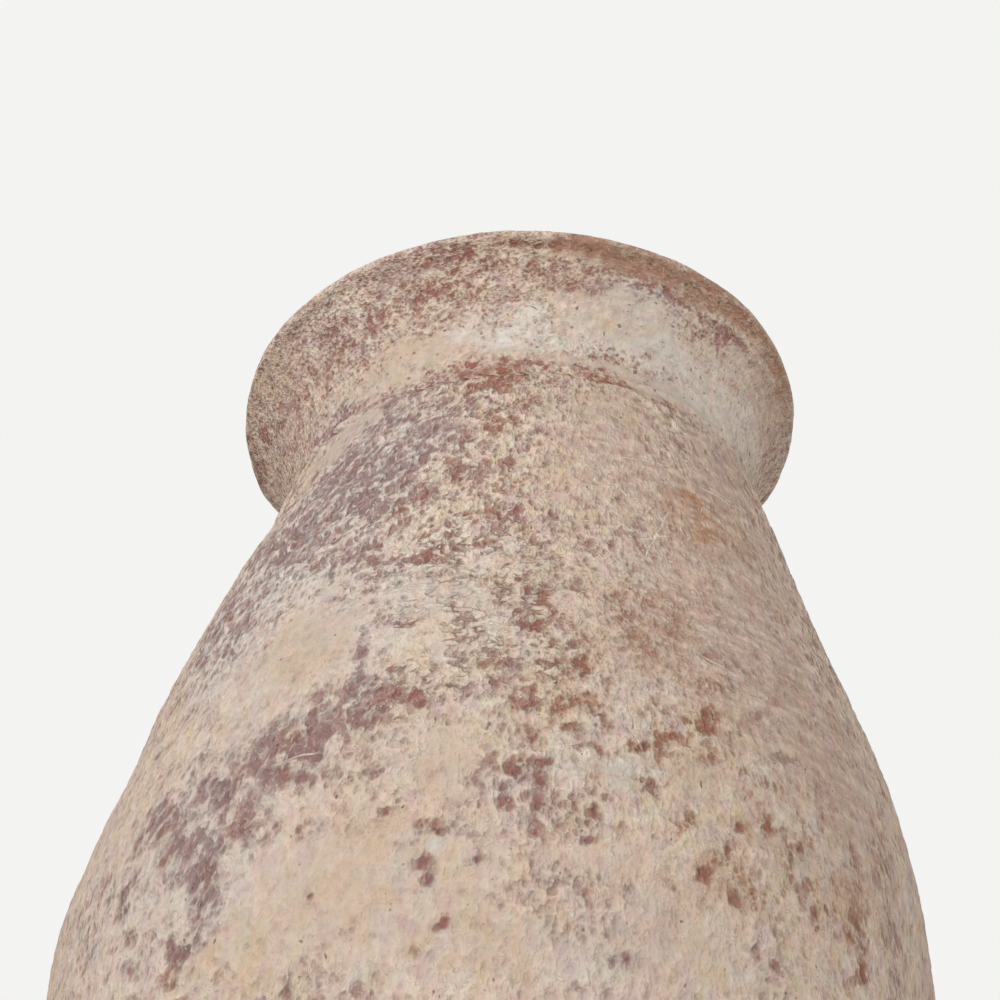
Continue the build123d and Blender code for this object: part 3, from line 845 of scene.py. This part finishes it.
# the face that the jar stands on stays flat
standing = soften(zones["footFrom"], zones["footTo"], heightOf) * outsideOf
offFloor = heightOf > j["baseThickness"] + zones["floor"]
bareOf = np.maximum(fields["bare"], 0)
pressIn("sway", np.where(outsideOf, standing, relief["sway"]["inside"] * offFloor))
dents = relief["dents"]
pressIn("dents", np.where(outsideOf, standing * (1 - dents["rimLoss"] * onRim), dents["inside"] * offFloor))
crust = relief["crust"]
crustShare = crust["share"] + crust["flaky"] * fields["flaky"] + crust["bare"] * bareOf \
    - crust["smooth"] * fields["smooth"] - crust["haze"] * fields["haze"]
crustShare = np.clip(crustShare, crust["least"], 1) * (1 - crust["rimLoss"] * onRim)
crustShare = np.where(outsideOf, standing * (crustShare * (1 - crust["lipLoss"] * nearLip)), 0)
crustTaken = pressIn("crust", crustShare)
crustOf = np.clip(crustTaken / np.maximum(crustShare, crust["shown"]), 0, 1)
crustOf = np.where(crustShare > crust["shown"], crustOf, 0.5)
pits = relief["pits"]
pitShare = standing * (pits["share"] + pits["bare"] * bareOf) * (1 - pits["rimLoss"] * onRim)
pressIn("pits", np.where(outsideOf, pitShare, pits["inside"]))
print("relief pressed in, crust covers", round(float(crustOf[outsideOf].mean()), 2))
moveTo(wall, leanedPlaces(positions(wall)))

# what the materials read from the wall
scratchOf, scratchShare = drawScratches(np.random.RandomState(scratches["seed"]))
# the crust is drawn out upward on the shoulder and a little on the belly
upward = {"belly": 1.2, "shoulder": 0.6, "shoulderFrom": 0.38, "shoulderTo": 0.45,
          "rim": 0.8, "rimFrom": 0.515, "rimTo": 0.53}
onShoulder = soften(upward["shoulderFrom"], upward["shoulderTo"], profile[:, 1])
pastShoulder = soften(upward["rimFrom"], upward["rimTo"], profile[:, 1])
drawn = upward["belly"] + upward["shoulder"] * onShoulder - upward["rim"] * pastShoulder
drawnWay = np.concatenate([[0], np.cumsum(np.diff(profileWay) / (0.5 * (drawn[1:] + drawn[:-1])))])
# where the plainer clay of the inside starts, past the lip's top
innerEdge = {"start": 0.012, "fade": 0.008}
ones = np.ones(len(plain))
keep("wallCo", "FLOAT_VECTOR", np.column_stack([plain[:, :2], np.interp(wayOf, profileWay, drawnWay)]))
painted = {"wear": ("bare", "violet", "rust"), "coat": ("lime", "smooth", "peach"),
           "tone": ("tan", "haze", "flaky")}
for name, kinds in painted.items():
    keep(name, "FLOAT_COLOR", np.column_stack([fields[kind] for kind in kinds] + [ones]))
scratchCo = scratchOf / (2 * scratches["far"]) + 0.5
keep("scar", "FLOAT_COLOR", np.column_stack([scratchCo, scratchShare, crustOf, ones]))
keep("inner", "FLOAT", soften(0, innerEdge["fade"], wayOf - profileWay[topRow] - innerEdge["start"]))


def bridgeRows(piece, first, second):
    # closes a section between two of its open rows
    rows = rowsOf(piece)
    ends = np.empty(len(piece.data.edges) * 2, np.int32)
    piece.data.edges.foreach_get("vertices", ends)
    ends = rows[ends.reshape(-1, 2)]
    chosen = (ends[:, 0] == ends[:, 1]) & np.isin(ends[:, 0], (first, second))
    only(piece)
    piece.data.vertices.foreach_set("select", np.zeros(len(piece.data.vertices), bool))
    piece.data.polygons.foreach_set("select", np.zeros(len(piece.data.polygons), bool))
    piece.data.edges.foreach_set("select", chosen)
    bpy.context.tool_settings.mesh_select_mode = (False, True, False)
    bpy.ops.object.mode_set(mode="EDIT")
    bpy.ops.mesh.bridge_edge_loops()
    bpy.ops.mesh.select_all(action="SELECT")
    bpy.ops.mesh.normals_make_consistent(inside=False)
    objectMode()


edgeAngle = math.radians(45)    # edges sharper than this stay sharp


def cutSections(wall, bands, rowBand):
    # the roughened wall is cut into its sections, and each is closed at its joints
    starts = [int(np.argmax(rowBand == i)) - (1 if i else 0) for i in range(len(bands))]
    ends = [int(len(rowBand) - 1 - np.argmax(rowBand[::-1] == i)) for i in range(len(bands))]
    names = list(dict.fromkeys(section for section, points in bands))
    rows = rowsOf(wall)
    corners = np.empty(len(wall.data.loops), np.int32)
    wall.data.loops.foreach_get("vertex_index", corners)
    first = np.empty(len(wall.data.polygons), np.int32)
    wall.data.polygons.foreach_get("loop_start", first)
    highRow = np.maximum.reduceat(rows[corners], first)
    sectionOf = np.array([names.index(section) for section, points in bands], np.int32)[rowBand[highRow]]
    mark = wall.data.attributes.new("section", "INT", "FACE")
    mark.data.foreach_set("value", sectionOf)
    wall.data.materials.clear()
    for name in names:
        wall.data.materials.append(None)
    wall.data.polygons.foreach_set("material_index", sectionOf)
    only(wall)
    editMode("FACE")
    bpy.ops.mesh.select_all(action="SELECT")
    bpy.ops.mesh.separate(type="MATERIAL")
    objectMode()
    sections = []
    for piece in list(bpy.context.selected_objects):
        name = names[piece.data.attributes["section"].data[0].value]
        piece.name = piece.data.name = name + "_fired"
        spans = [(starts[i], ends[i]) for i, (section, points) in enumerate(bands) if section == name]
        if len(spans) == 1:
            bridgeRows(piece, *spans[0])
        else:
            (outerStart, outerEnd), (innerStart, innerEnd) = spans
            bridgeRows(piece, outerEnd, innerStart)
            if outerStart > 0:
                bridgeRows(piece, outerStart, innerEnd)
        only(piece)
        bpy.ops.object.shade_smooth_by_angle(angle=edgeAngle)
        for spare in ("row", "section"):
            piece.data.attributes.remove(piece.data.attributes[spare])
        sections.append((name, piece))
    return sections


sections = cutSections(wall, bands, rowBand)
print("sections:", [(name, len(piece.data.polygons)) for name, piece in sections])


# clay colours, as linear values; the last two are factors that tint the others
clays = {
    "maroon": (0.275, 0.118, 0.100), "redBrown": (0.330, 0.185, 0.150), "pinkBrown": (0.430, 0.305, 0.250),
    "violet": (0.262, 0.184, 0.180), "violetPale": (0.440, 0.355, 0.335), "ashy": (0.590, 0.515, 0.475),
    "rust": (0.250, 0.110, 0.058), "rustPale": (0.420, 0.240, 0.145), "beige": (0.560, 0.440, 0.345),
    "cream": (0.690, 0.588, 0.490), "peach": (0.600, 0.450, 0.345), "tan": (0.535, 0.425, 0.310),
    "rosy": (0.545, 0.400, 0.365), "ochre": (0.575, 0.450, 0.305), "lime": (0.665, 0.625, 0.570),
    "slate": (0.425, 0.395, 0.365), "haze": (0.405, 0.282, 0.224), "russet": (0.330, 0.166, 0.092),
    "ember": (0.400, 0.165, 0.075), "speck": (0.090, 0.050, 0.040), "inside": (0.400, 0.275, 0.215),
    "insidePale": (0.530, 0.420, 0.330), "pinker": (1.02, 0.965, 0.96), "greyer": (0.98, 1.01, 1.02),
}


def rgba(name):
    return (*clays[name], 1)


shader = {"tree": None}    # the node tree that the helpers below add to


def newNode(kind):
    return shader["tree"].nodes.new(kind)


def put(socket, value):
    if isinstance(value, bpy.types.NodeSocket):
        shader["tree"].links.new(value, socket)
    elif value is not None:
        socket.default_value = value


def calc(operation, a, b=None, c=None):
    n = newNode("ShaderNodeMath")
    n.operation = operation
    for socket, value in zip(n.inputs, (a, b, c)):
        put(socket, value)
    return n.outputs[0]


def times(a, b):
    return calc("MULTIPLY", a, b)


def timesPlus(a, b, c):
    return calc("MULTIPLY_ADD", a, b, c)


def plus(a, b):
    return calc("ADD", a, b)


def minus(a, b):
    return calc("SUBTRACT", a, b)


def vary(vector, scale, detail=4.0, rough=0.55):
    n = newNode("ShaderNodeTexNoise")
    put(n.inputs["Vector"], vector)
    for name, value in (("Scale", scale), ("Detail", detail), ("Roughness", rough)):
        put(n.inputs[name], value)
    return n.outputs["Fac"]


def band(value, low, high, outLow=0.0, outHigh=1.0):
    n = newNode("ShaderNodeMapRange")
    n.interpolation_type = "SMOOTHSTEP"
    for socket, entry in zip(n.inputs, (value, low, high, outLow, outHigh)):
        put(socket, entry)
    return n.outputs[0]


def blend(share, a, b, mode="MIX"):
    n = newNode("ShaderNodeMix")
    n.data_type = "RGBA"
    n.blend_type = mode
    put(n.inputs[0], share)
    put(n.inputs[6], a)
    put(n.inputs[7], b)
    return n.outputs[2]


def vectors(operation, a, b):
    n = newNode("ShaderNodeVectorMath")
    n.operation = operation
    put(n.inputs[0], a)
    put(n.inputs[1], b)
    return n.outputs[0]


def stretch(vector, factors):
    return vectors("MULTIPLY", vector, factors)


def shift(vector, offset):
    return vectors("ADD", vector, offset)


def newGroup(name, values, outputs, kind="Float"):
    # a shader group that reads a place on the wall and some values, and that the helpers now add to
    tree = shader["tree"] = bpy.data.node_groups.new(name, "ShaderNodeTree")
    tree.interface.new_socket("Vector", in_out="INPUT", socket_type="NodeSocketVector")
    for socket in values:
        tree.interface.new_socket(socket, in_out="INPUT", socket_type="NodeSocketFloat")
    for socket in outputs:
        tree.interface.new_socket(socket, in_out="OUTPUT", socket_type="NodeSocket" + kind)
    return tree, newNode("NodeGroupInput").outputs, newNode("NodeGroupOutput").inputs


def use(group, **values):
    n = newNode("ShaderNodeGroup")
    n.node_tree = group
    for name, value in values.items():
        put(n.inputs[name], value)
    return n.outputs


# crust over the slip: it breaks off along fine ragged edges, more where the wall is bare,
# less where it is smooth
coatLook = {"flat": (1, 1, 1.4), "mid": 1.35, "close": 1.1, "gritCalm": -0.88, "grit": 1.06,
            "wideCalm": -0.30, "wide": 0.50, "relief": 0.16, "bare": -0.46, "calm": 0.15}
coatTree, given, out = newGroup(
    "broken_coat", ["Wide", "Mid", "Fine", "Relief", "Bare", "Smooth", "Lines", "Level", "Soft"],
    ["Cover", "Raw"])
calm = times(given["Smooth"], minus(1.0, given["Bare"]))
wide = vary(stretch(given["Vector"], coatLook["flat"]), given["Wide"], 3, 0.6)
mid = vary(given["Vector"], given["Mid"], 3, 0.7)
close = vary(given["Vector"], given["Fine"], 1, 0.5)
grit = times(minus(mid, 0.5), coatLook["mid"])
grit = timesPlus(minus(close, 0.5), coatLook["close"], grit)
grit = times(grit, timesPlus(calm, coatLook["gritCalm"], coatLook["grit"]))
wideShare = timesPlus(calm, coatLook["wideCalm"], coatLook["wide"])
mixed = plus(times(minus(wide, 0.5), wideShare), grit)
mixed = timesPlus(minus(given["Relief"], 0.5), coatLook["relief"], mixed)
mixed = plus(mixed, given["Lines"])
mixed = timesPlus(given["Bare"], coatLook["bare"], mixed)
mixed = timesPlus(calm, coatLook["calm"], mixed)
mixed = plus(mixed, given["Level"])
put(out["Cover"], band(mixed, times(given["Soft"], -1.0), given["Soft"]))
put(out["Raw"], mixed)

# plates of crust with cracks between them, each plate a little higher or lower than the next
crackLook = {"flat": (1, 1, 2.0), "bendScale": 160, "bendDetail": 2, "bend": (0.012, 0.012, 0.012),
             "gateScale": 90, "gate": (0.36, 0.54), "plateLevel": 0.25, "plateEdge": 0.22}
crackTree, given, out = newGroup("flake_cracks", ["Scale", "Width"], ["Crack", "Plate"])
flatCo = stretch(given["Vector"], crackLook["flat"])
bent = newNode("ShaderNodeTexNoise")
put(bent.inputs["Vector"], flatCo)
bent.inputs["Scale"].default_value = crackLook["bendScale"]
bent.inputs["Detail"].default_value = crackLook["bendDetail"]
bend = stretch(shift(bent.outputs["Color"], (-0.5, -0.5, -0.5)), crackLook["bend"])
bentCo = shift(flatCo, bend)
cells = newNode("ShaderNodeTexVoronoi")
cells.feature = "DISTANCE_TO_EDGE"
plates = newNode("ShaderNodeTexVoronoi")
for pattern in (cells, plates):
    put(pattern.inputs["Vector"], bentCo)
    put(pattern.inputs["Scale"], given["Scale"])
gate = band(vary(given["Vector"], crackLook["gateScale"], 3), *crackLook["gate"])
line = band(cells.outputs["Distance"], 0.0, given["Width"], 1.0, 0.0)
put(out["Crack"], times(line, gate))
level = newNode("ShaderNodeSeparateColor")
put(level.inputs[0], plates.outputs["Color"])
inward = band(cells.outputs["Distance"], 0.0, crackLook["plateEdge"])
raised = minus(level.outputs[0], crackLook["plateLevel"])
put(out["Plate"], times(raised, inward))

# small specks: the larger the share, the more of them
speckLook = {"none": 0.78, "edge": 0.05}
speckTree, given, out = newGroup("clay_specks", ["Scale", "Share"], ["Mask"])
dots = vary(given["Vector"], given["Scale"], 1, 0.5)
edge = minus(speckLook["none"], given["Share"])
put(out["Mask"], band(dots, edge, plus(edge, speckLook["edge"])))

# fine lines that the potter's fingers left round the jar
lineLook = {"drawnOut": (0.03, 0.03, 1.0), "patchScale": 35, "patch": (0.38, 0.62)}
lineTree, given, out = newGroup("wiping_lines", ["Scale"], ["Value"])
rings = vary(stretch(given["Vector"], lineLook["drawnOut"]), given["Scale"], 3, 0.6)
patch = band(vary(given["Vector"], lineLook["patchScale"], 2), *lineLook["patch"])
put(out["Value"], times(minus(rings, 0.5), patch))

# the two colours that meet in the broken coat: the slip is darker where the coat is far gone.
# Scales of the noises, the band of each that shows, and the share of the colour there
toneLook = {
    "deep": (0.06, -0.36), "half": (0.0, 0.55), "full": (0.45, 1.0),
    "mottleScale": 260, "mottle": (0.46, 0.62), "mottleShare": 0.65,
    "driftScale": 95, "driftCool": (0.46, 0.30), "driftWarm": (0.54, 0.70), "driftShare": 0.45,
    "violetSlip": 0.85, "rustSlip": 0.8, "creamy": (-0.02, 0.55),
    "cloudScale": 26, "cloud": (0.42, 0.68), "cloudShare": 0.4,
    "tintScale": 165, "ochre": (0.48, 0.72), "rosy": (0.52, 0.28), "tintShare": 0.9,
    "peach": 0.7, "tan": 0.7, "violet": 0.65, "lime": 0.7, "slateScale": 75, "slate": (0.51, 0.70),
}
toneTree, given, out = newGroup(
    "clay_tones", ["Raw", "Violet", "Rust", "Lime", "Peach", "Tan"], ["Slip", "Coat"], "Color")


def toneShare(noise, bandName, shareName):
    return times(band(noise, *toneLook[bandName]), toneLook[shareName])


def toneNoise(scaleName, offset, detail=2, rough=0.6):
    return vary(shift(given["Vector"], offset), toneLook[scaleName], detail, rough)


depth = band(given["Raw"], *toneLook["deep"])
half = band(depth, *toneLook["half"])
full = band(depth, *toneLook["full"])
slip = blend(full, blend(half, rgba("pinkBrown"), rgba("redBrown")), rgba("maroon"))
cool = blend(depth, rgba("violetPale"), rgba("violet"))
warm = blend(depth, rgba("rustPale"), rgba("rust"))
mottle = toneNoise("mottleScale", (0.7, 0.2, 0.4), rough=0.65)
slip = blend(toneShare(mottle, "mottle", "mottleShare"), slip, rgba("pinkBrown"))
drift = toneNoise("driftScale", (0.5, 0.9, 0.1))
violet = calc("MAXIMUM", times(given["Violet"], toneLook["violetSlip"]),
              toneShare(drift, "driftCool", "driftShare"))
rust = calc("MAXIMUM", times(given["Rust"], toneLook["rustSlip"]),
            toneShare(drift, "driftWarm", "driftShare"))
slip = blend(violet, slip, cool)
slip = blend(rust, slip, warm)
coat = blend(band(given["Raw"], *toneLook["creamy"]), rgba("beige"), rgba("cream"))
cloud = vary(given["Vector"], toneLook["cloudScale"], 3, 0.6)
coat = blend(toneShare(cloud, "cloud", "cloudShare"), coat, rgba("peach"))
tint = toneNoise("tintScale", (0.1, 0.6, 0.9))
coat = blend(toneShare(tint, "ochre", "tintShare"), coat, rgba("ochre"))
coat = blend(toneShare(tint, "rosy", "tintShare"), coat, rgba("rosy"))
slaty = band(vary(given["Vector"], toneLook["slateScale"], 4, 0.6), *toneLook["slate"])
limy = blend(slaty, rgba("lime"), rgba("slate"))
for kind, layer in (("Peach", rgba("peach")), ("Tan", rgba("tan")), ("Violet", rgba("ashy")), ("Lime", limy)):
    coat = blend(times(given[kind], toneLook[kind.lower()]), coat, layer)
put(out["Slip"], slip)
put(out["Coat"], coat)

# what differs between the slots
looks = {
    "body_clay": {"wide": 70.0, "mid": 150.0, "fine": 430.0, "level": 0.112, "soft": 0.17, "lines": 0.16,
                  "specks": 0.03, "flecks": 0.16, "cracks": 165.0, "along": 1.15, "roughness": 0.86,
                  "bump": 0.9},
    "rim_clay": {"wide": 80.0, "mid": 250.0, "fine": 600.0, "level": 0.080, "soft": 0.21, "lines": 0.35,
                 "specks": 0.09, "flecks": 0.12, "cracks": 170.0, "along": 1.0, "roughness": 0.84,
                 "bump": 0.62},
    "foot_clay": {"wide": 70.0, "mid": 150.0, "fine": 430.0, "level": 0.07, "soft": 0.15, "lines": 0.16,
                  "specks": 0.03, "flecks": 0.12, "cracks": 165.0, "along": 1.15, "roughness": 0.88,
                  "bump": 0.9},
}
# what they share: scales, the bands of the noises, and shares of the layers
clay = {
    "lineScale": 620.0, "crackWidth": 0.22, "crack": -0.29, "plate": 0.34, "flaky": 0.05, "hazeCalm": 0.4,
    "filmFlat": (0.35, 0.35, 1.6), "filmScale": 260, "film": (0.32, 0.66, 0.25, 0.9),
    "hueScale": 140, "hue": (0.38, 0.62), "speckScale": 400.0, "speck": 0.6,
    "fleckScale": 600.0, "fleckSmooth": -0.8, "fleck": 0.6,
    "emberScale": 420.0, "embers": 0.15, "emberRust": 0.4, "emberBare": 0.2,
    "scarWidth": (0.010, 0.032), "scarScale": 300, "scarGaps": (0.28, 0.48), "scar": 0.9,
    # grain and light: strength and level of the painted shade of the fine grain; smoothShade: how much darker
    # the colour is where the wall is smooth
    "insideScale": 60, "inside": (0.4, 0.62), "grainScale": 320, "grain": 0.85, "light": 1.02,
    "smoothShade": -0.20, "specular": 0.25, "coatRoughness": 0.06,
}
# how much rougher or calmer the fine relief and the painted shade of its grain are, and what makes the
# relief's height
calmBy = {"smooth": -0.6, "haze": -0.4, "flaky": -0.06}
heights = {"distance": 0.0017, "cover": 0.5, "grain": 1.6, "raw": 1.2, "fleck": 0.5, "speck": -0.4,
           "scar": -0.4}


def clayMaterial(name, look):
    material = bpy.data.materials.new(name)
    material.use_nodes = True
    shader["tree"] = material.node_tree
    surface = material.node_tree.nodes["Principled BSDF"]

    def read(attribute, output):
        n = newNode("ShaderNodeAttribute")
        n.attribute_name = attribute
        return n.outputs[output]

    def parts(attribute):
        n = newNode("ShaderNodeSeparateColor")
        put(n.inputs[0], read(attribute, "Color"))
        return n.outputs

    place = stretch(read("wallCo", "Vector"), (look["along"], look["along"], 1))
    bare, violet, rust = parts("wear")
    lime, smooth, peach = parts("coat")
    tan, haze, flaky = parts("tone")
    scratch, scratchShare, crust = parts("scar")
    lines = use(lineTree, Vector=place, Scale=clay["lineScale"])["Value"]
    broken = use(crackTree, Vector=place, Scale=look["cracks"], Width=clay["crackWidth"])
    crack = times(broken["Crack"], flaky)
    plate = times(broken["Plate"], flaky)
    shifts = timesPlus(lines, look["lines"], times(crack, clay["crack"]))
    shifts = timesPlus(plate, clay["plate"], shifts)
    shifts = timesPlus(flaky, clay["flaky"], shifts)
    calmer = calc("MAXIMUM", smooth, times(haze, clay["hazeCalm"]))
    coated = use(coatTree, Vector=place, Wide=look["wide"], Mid=look["mid"], Fine=look["fine"],
                 Relief=crust, Bare=bare, Smooth=calmer, Lines=shifts, Level=look["level"], Soft=look["soft"])
    cover = coated["Cover"]
    tones = use(toneTree, Vector=place, Raw=coated["Raw"], Violet=violet, Rust=rust, Lime=lime,
                Peach=peach, Tan=tan)
    colour = blend(cover, tones["Slip"], tones["Coat"])
    # thin pinkish film on the weathered side
    wiped = vary(stretch(place, clay["filmFlat"]), clay["filmScale"], 2, 0.6)
    film = times(haze, band(wiped, *clay["film"]))
    colour = blend(film, colour, blend(rust, rgba("haze"), rgba("russet")))
    # pinker and greyer places
    hue = vary(shift(place, (0.6, 0.1, 0.8)), clay["hueScale"], 2, 0.6)
    hues = blend(band(hue, *clay["hue"]), rgba("pinker"), rgba("greyer"))
    colour = blend(1.0, colour, hues, "MULTIPLY")
    # dark specks, pale flecks, orange grains and pale scratches
    speck = use(speckTree, Vector=place, Scale=clay["speckScale"], Share=look["specks"])["Mask"]
    colour = blend(times(speck, clay["speck"]), colour, rgba("speck"))
    fleckCo = shift(place, (0.4, 0.8, 0.3))
    fleck = use(speckTree, Vector=fleckCo, Scale=clay["fleckScale"], Share=look["flecks"])["Mask"]
    fleck = times(fleck, timesPlus(smooth, clay["fleckSmooth"], 1.0))
    colour = blend(times(fleck, clay["fleck"]), colour, rgba("cream"))
    emberCo = shift(place, (0.2, 0.3, 0.7))
    ember = use(speckTree, Vector=emberCo, Scale=clay["emberScale"], Share=clay["embers"])["Mask"]
    emberShare = timesPlus(rust, clay["emberRust"], times(bare, clay["emberBare"]))
    colour = blend(times(ember, emberShare), colour, rgba("ember"))
    reach = calc("ABSOLUTE", minus(scratch, 0.5))
    scar = times(band(reach, *clay["scarWidth"], 1.0, 0.0), scratchShare)
    scar = times(scar, band(vary(place, clay["scarScale"], 2), *clay["scarGaps"]))
    colour = blend(times(scar, clay["scar"]), colour, rgba("cream"))
    # plainer clay inside
    cloudy = band(vary(place, clay["insideScale"], 6, 0.65), *clay["inside"])
    within = blend(cloudy, rgba("inside"), rgba("insidePale"))
    colour = blend(read("inner", "Fac"), colour, within)
    # fine grain painted into the colour as painted shade: darker in the hollows of the bump's grain and
    # lighter on its tops, weaker where the wall is smooth; the colour is also darker where the wall is
    # smooth, most on the belly
    rough = timesPlus(times(smooth, minus(1.0, bare)), calmBy["smooth"], 1.0)
    rough = times(rough, timesPlus(haze, calmBy["haze"], 1.0))
    rough = times(rough, timesPlus(flaky, calmBy["flaky"], 1.0))
    grain = vary(place, clay["grainScale"], 2, 0.7)
    shade = timesPlus(times(minus(grain, 0.5), rough), clay["grain"], clay["light"])
    shade = times(shade, timesPlus(smooth, clay["smoothShade"], 1.0))
    grainShadedColour = newNode("ShaderNodeVectorMath")
    grainShadedColour.operation = "SCALE"
    put(grainShadedColour.inputs[0], colour)
    put(grainShadedColour.inputs["Scale"], shade)
    put(surface.inputs["Base Color"], grainShadedColour.outputs[0])
    slipRoughness = look["roughness"] - clay["coatRoughness"]
    put(surface.inputs["Roughness"], timesPlus(cover, clay["coatRoughness"], slipRoughness))
    surface.inputs["Specular IOR Level"].default_value = clay["specular"]
    height = timesPlus(cover, heights["cover"], times(grain, heights["grain"]))
    for layer, share in ((coated["Raw"], "raw"), (fleck, "fleck"), (speck, "speck"), (scar, "scar")):
        height = timesPlus(layer, heights[share], height)
    bump = newNode("ShaderNodeBump")
    bump.inputs["Strength"].default_value = look["bump"]
    bump.inputs["Distance"].default_value = heights["distance"]
    put(bump.inputs["Height"], times(height, rough))
    put(surface.inputs["Normal"], bump.outputs["Normal"])
    return material


materials = {slot: clayMaterial(slot, look) for slot, look in looks.items()}
slotOf = {s["node"]: s["material_slot"] for s in frame["record"]["subparts"]}
for name, piece in sections:
    piece.data.materials.clear()
    piece.data.materials.append(materials[slotOf[name]])
    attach(piece, "root")
    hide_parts(name)
print("materials set:", list(materials))

cameraData = bpy.data.cameras.new("low_camera")
cameraData.lens = view["lens"]
cameraData.sensor_width = view["sensor"]
cameraData.clip_start = 0.01
camera = bpy.data.objects.new("low_camera", cameraData)
bpy.context.scene.collection.objects.link(camera)
camera.matrix_world = Matrix.Translation(cameraAt) @ cameraAim.to_4x4()
bpy.context.scene.camera = camera

# floor, soft lamps all round and pale surroundings
stage = {"floor": (0.78, 0.77, 0.75), "floorRoughness": 0.9, "floorSize": 8, "backdrop": (0.90, 0.90, 0.89),
         "air": (1.0, 0.985, 0.965), "ambient": 0.29}
lamps = {
    "left_key": {"at": (-1.20, -0.95, 0.70), "to": (0, 0, 0.46), "size": 0.32, "power": 11.4},
    "front_fill": {"at": (0.25, -1.6, 0.40), "to": (0, 0, 0.46), "size": 1.0, "power": 9.5},
    "right_fill": {"at": (1.5, -0.9, 0.7), "to": (0, 0, 0.40), "size": 1.2, "power": 6.0},
    "back_fill": {"at": (0.3, 1.7, 1.1), "to": (0, 0, 0.35), "size": 1.4, "power": 14},
    "top_soft": {"at": (-0.3, -0.2, 2.1), "to": (0, 0, 0.3), "size": 1.6, "power": 9},
}
bpy.ops.object.select_all(action="DESELECT")
bpy.ops.mesh.primitive_plane_add(size=stage["floorSize"], location=(0, 0, 0))
floor = bpy.context.active_object
floor.name = "floor"
paper = bpy.data.materials.new("pale_floor")
paper.use_nodes = True
paper.node_tree.nodes["Principled BSDF"].inputs["Base Color"].default_value = (*stage["floor"], 1)
paper.node_tree.nodes["Principled BSDF"].inputs["Roughness"].default_value = stage["floorRoughness"]
floor.data.materials.append(paper)
for name, lamp in lamps.items():
    bpy.ops.object.light_add(type="AREA", location=lamp["at"])
    light = bpy.context.active_object
    light.name = light.data.name = name
    light.data.size = lamp["size"]
    light.data.energy = lamp["power"]
    light.visible_camera = False
    toward = Vector(lamp["to"]) - light.location
    light.rotation_euler = toward.to_track_quat("-Z", "Y").to_euler()

world = bpy.data.worlds.new("studio")
bpy.context.scene.world = world
world.use_nodes = True
sky = world.node_tree
ambient = sky.nodes["Background"]
ambient.inputs["Color"].default_value = (*stage["air"], 1)
ambient.inputs["Strength"].default_value = stage["ambient"]
backdrop = sky.nodes.new("ShaderNodeBackground")
backdrop.inputs["Color"].default_value = (*stage["backdrop"], 1)
path = sky.nodes.new("ShaderNodeLightPath")
either = sky.nodes.new("ShaderNodeMixShader")
sky.links.new(path.outputs["Is Camera Ray"], either.inputs[0])
sky.links.new(ambient.outputs[0], either.inputs[1])
sky.links.new(backdrop.outputs[0], either.inputs[2])
sky.links.new(either.outputs[0], sky.nodes["World Output"].inputs["Surface"])
bpy.context.scene.view_settings.view_transform = "Standard"
print("stage set:", list(lamps))
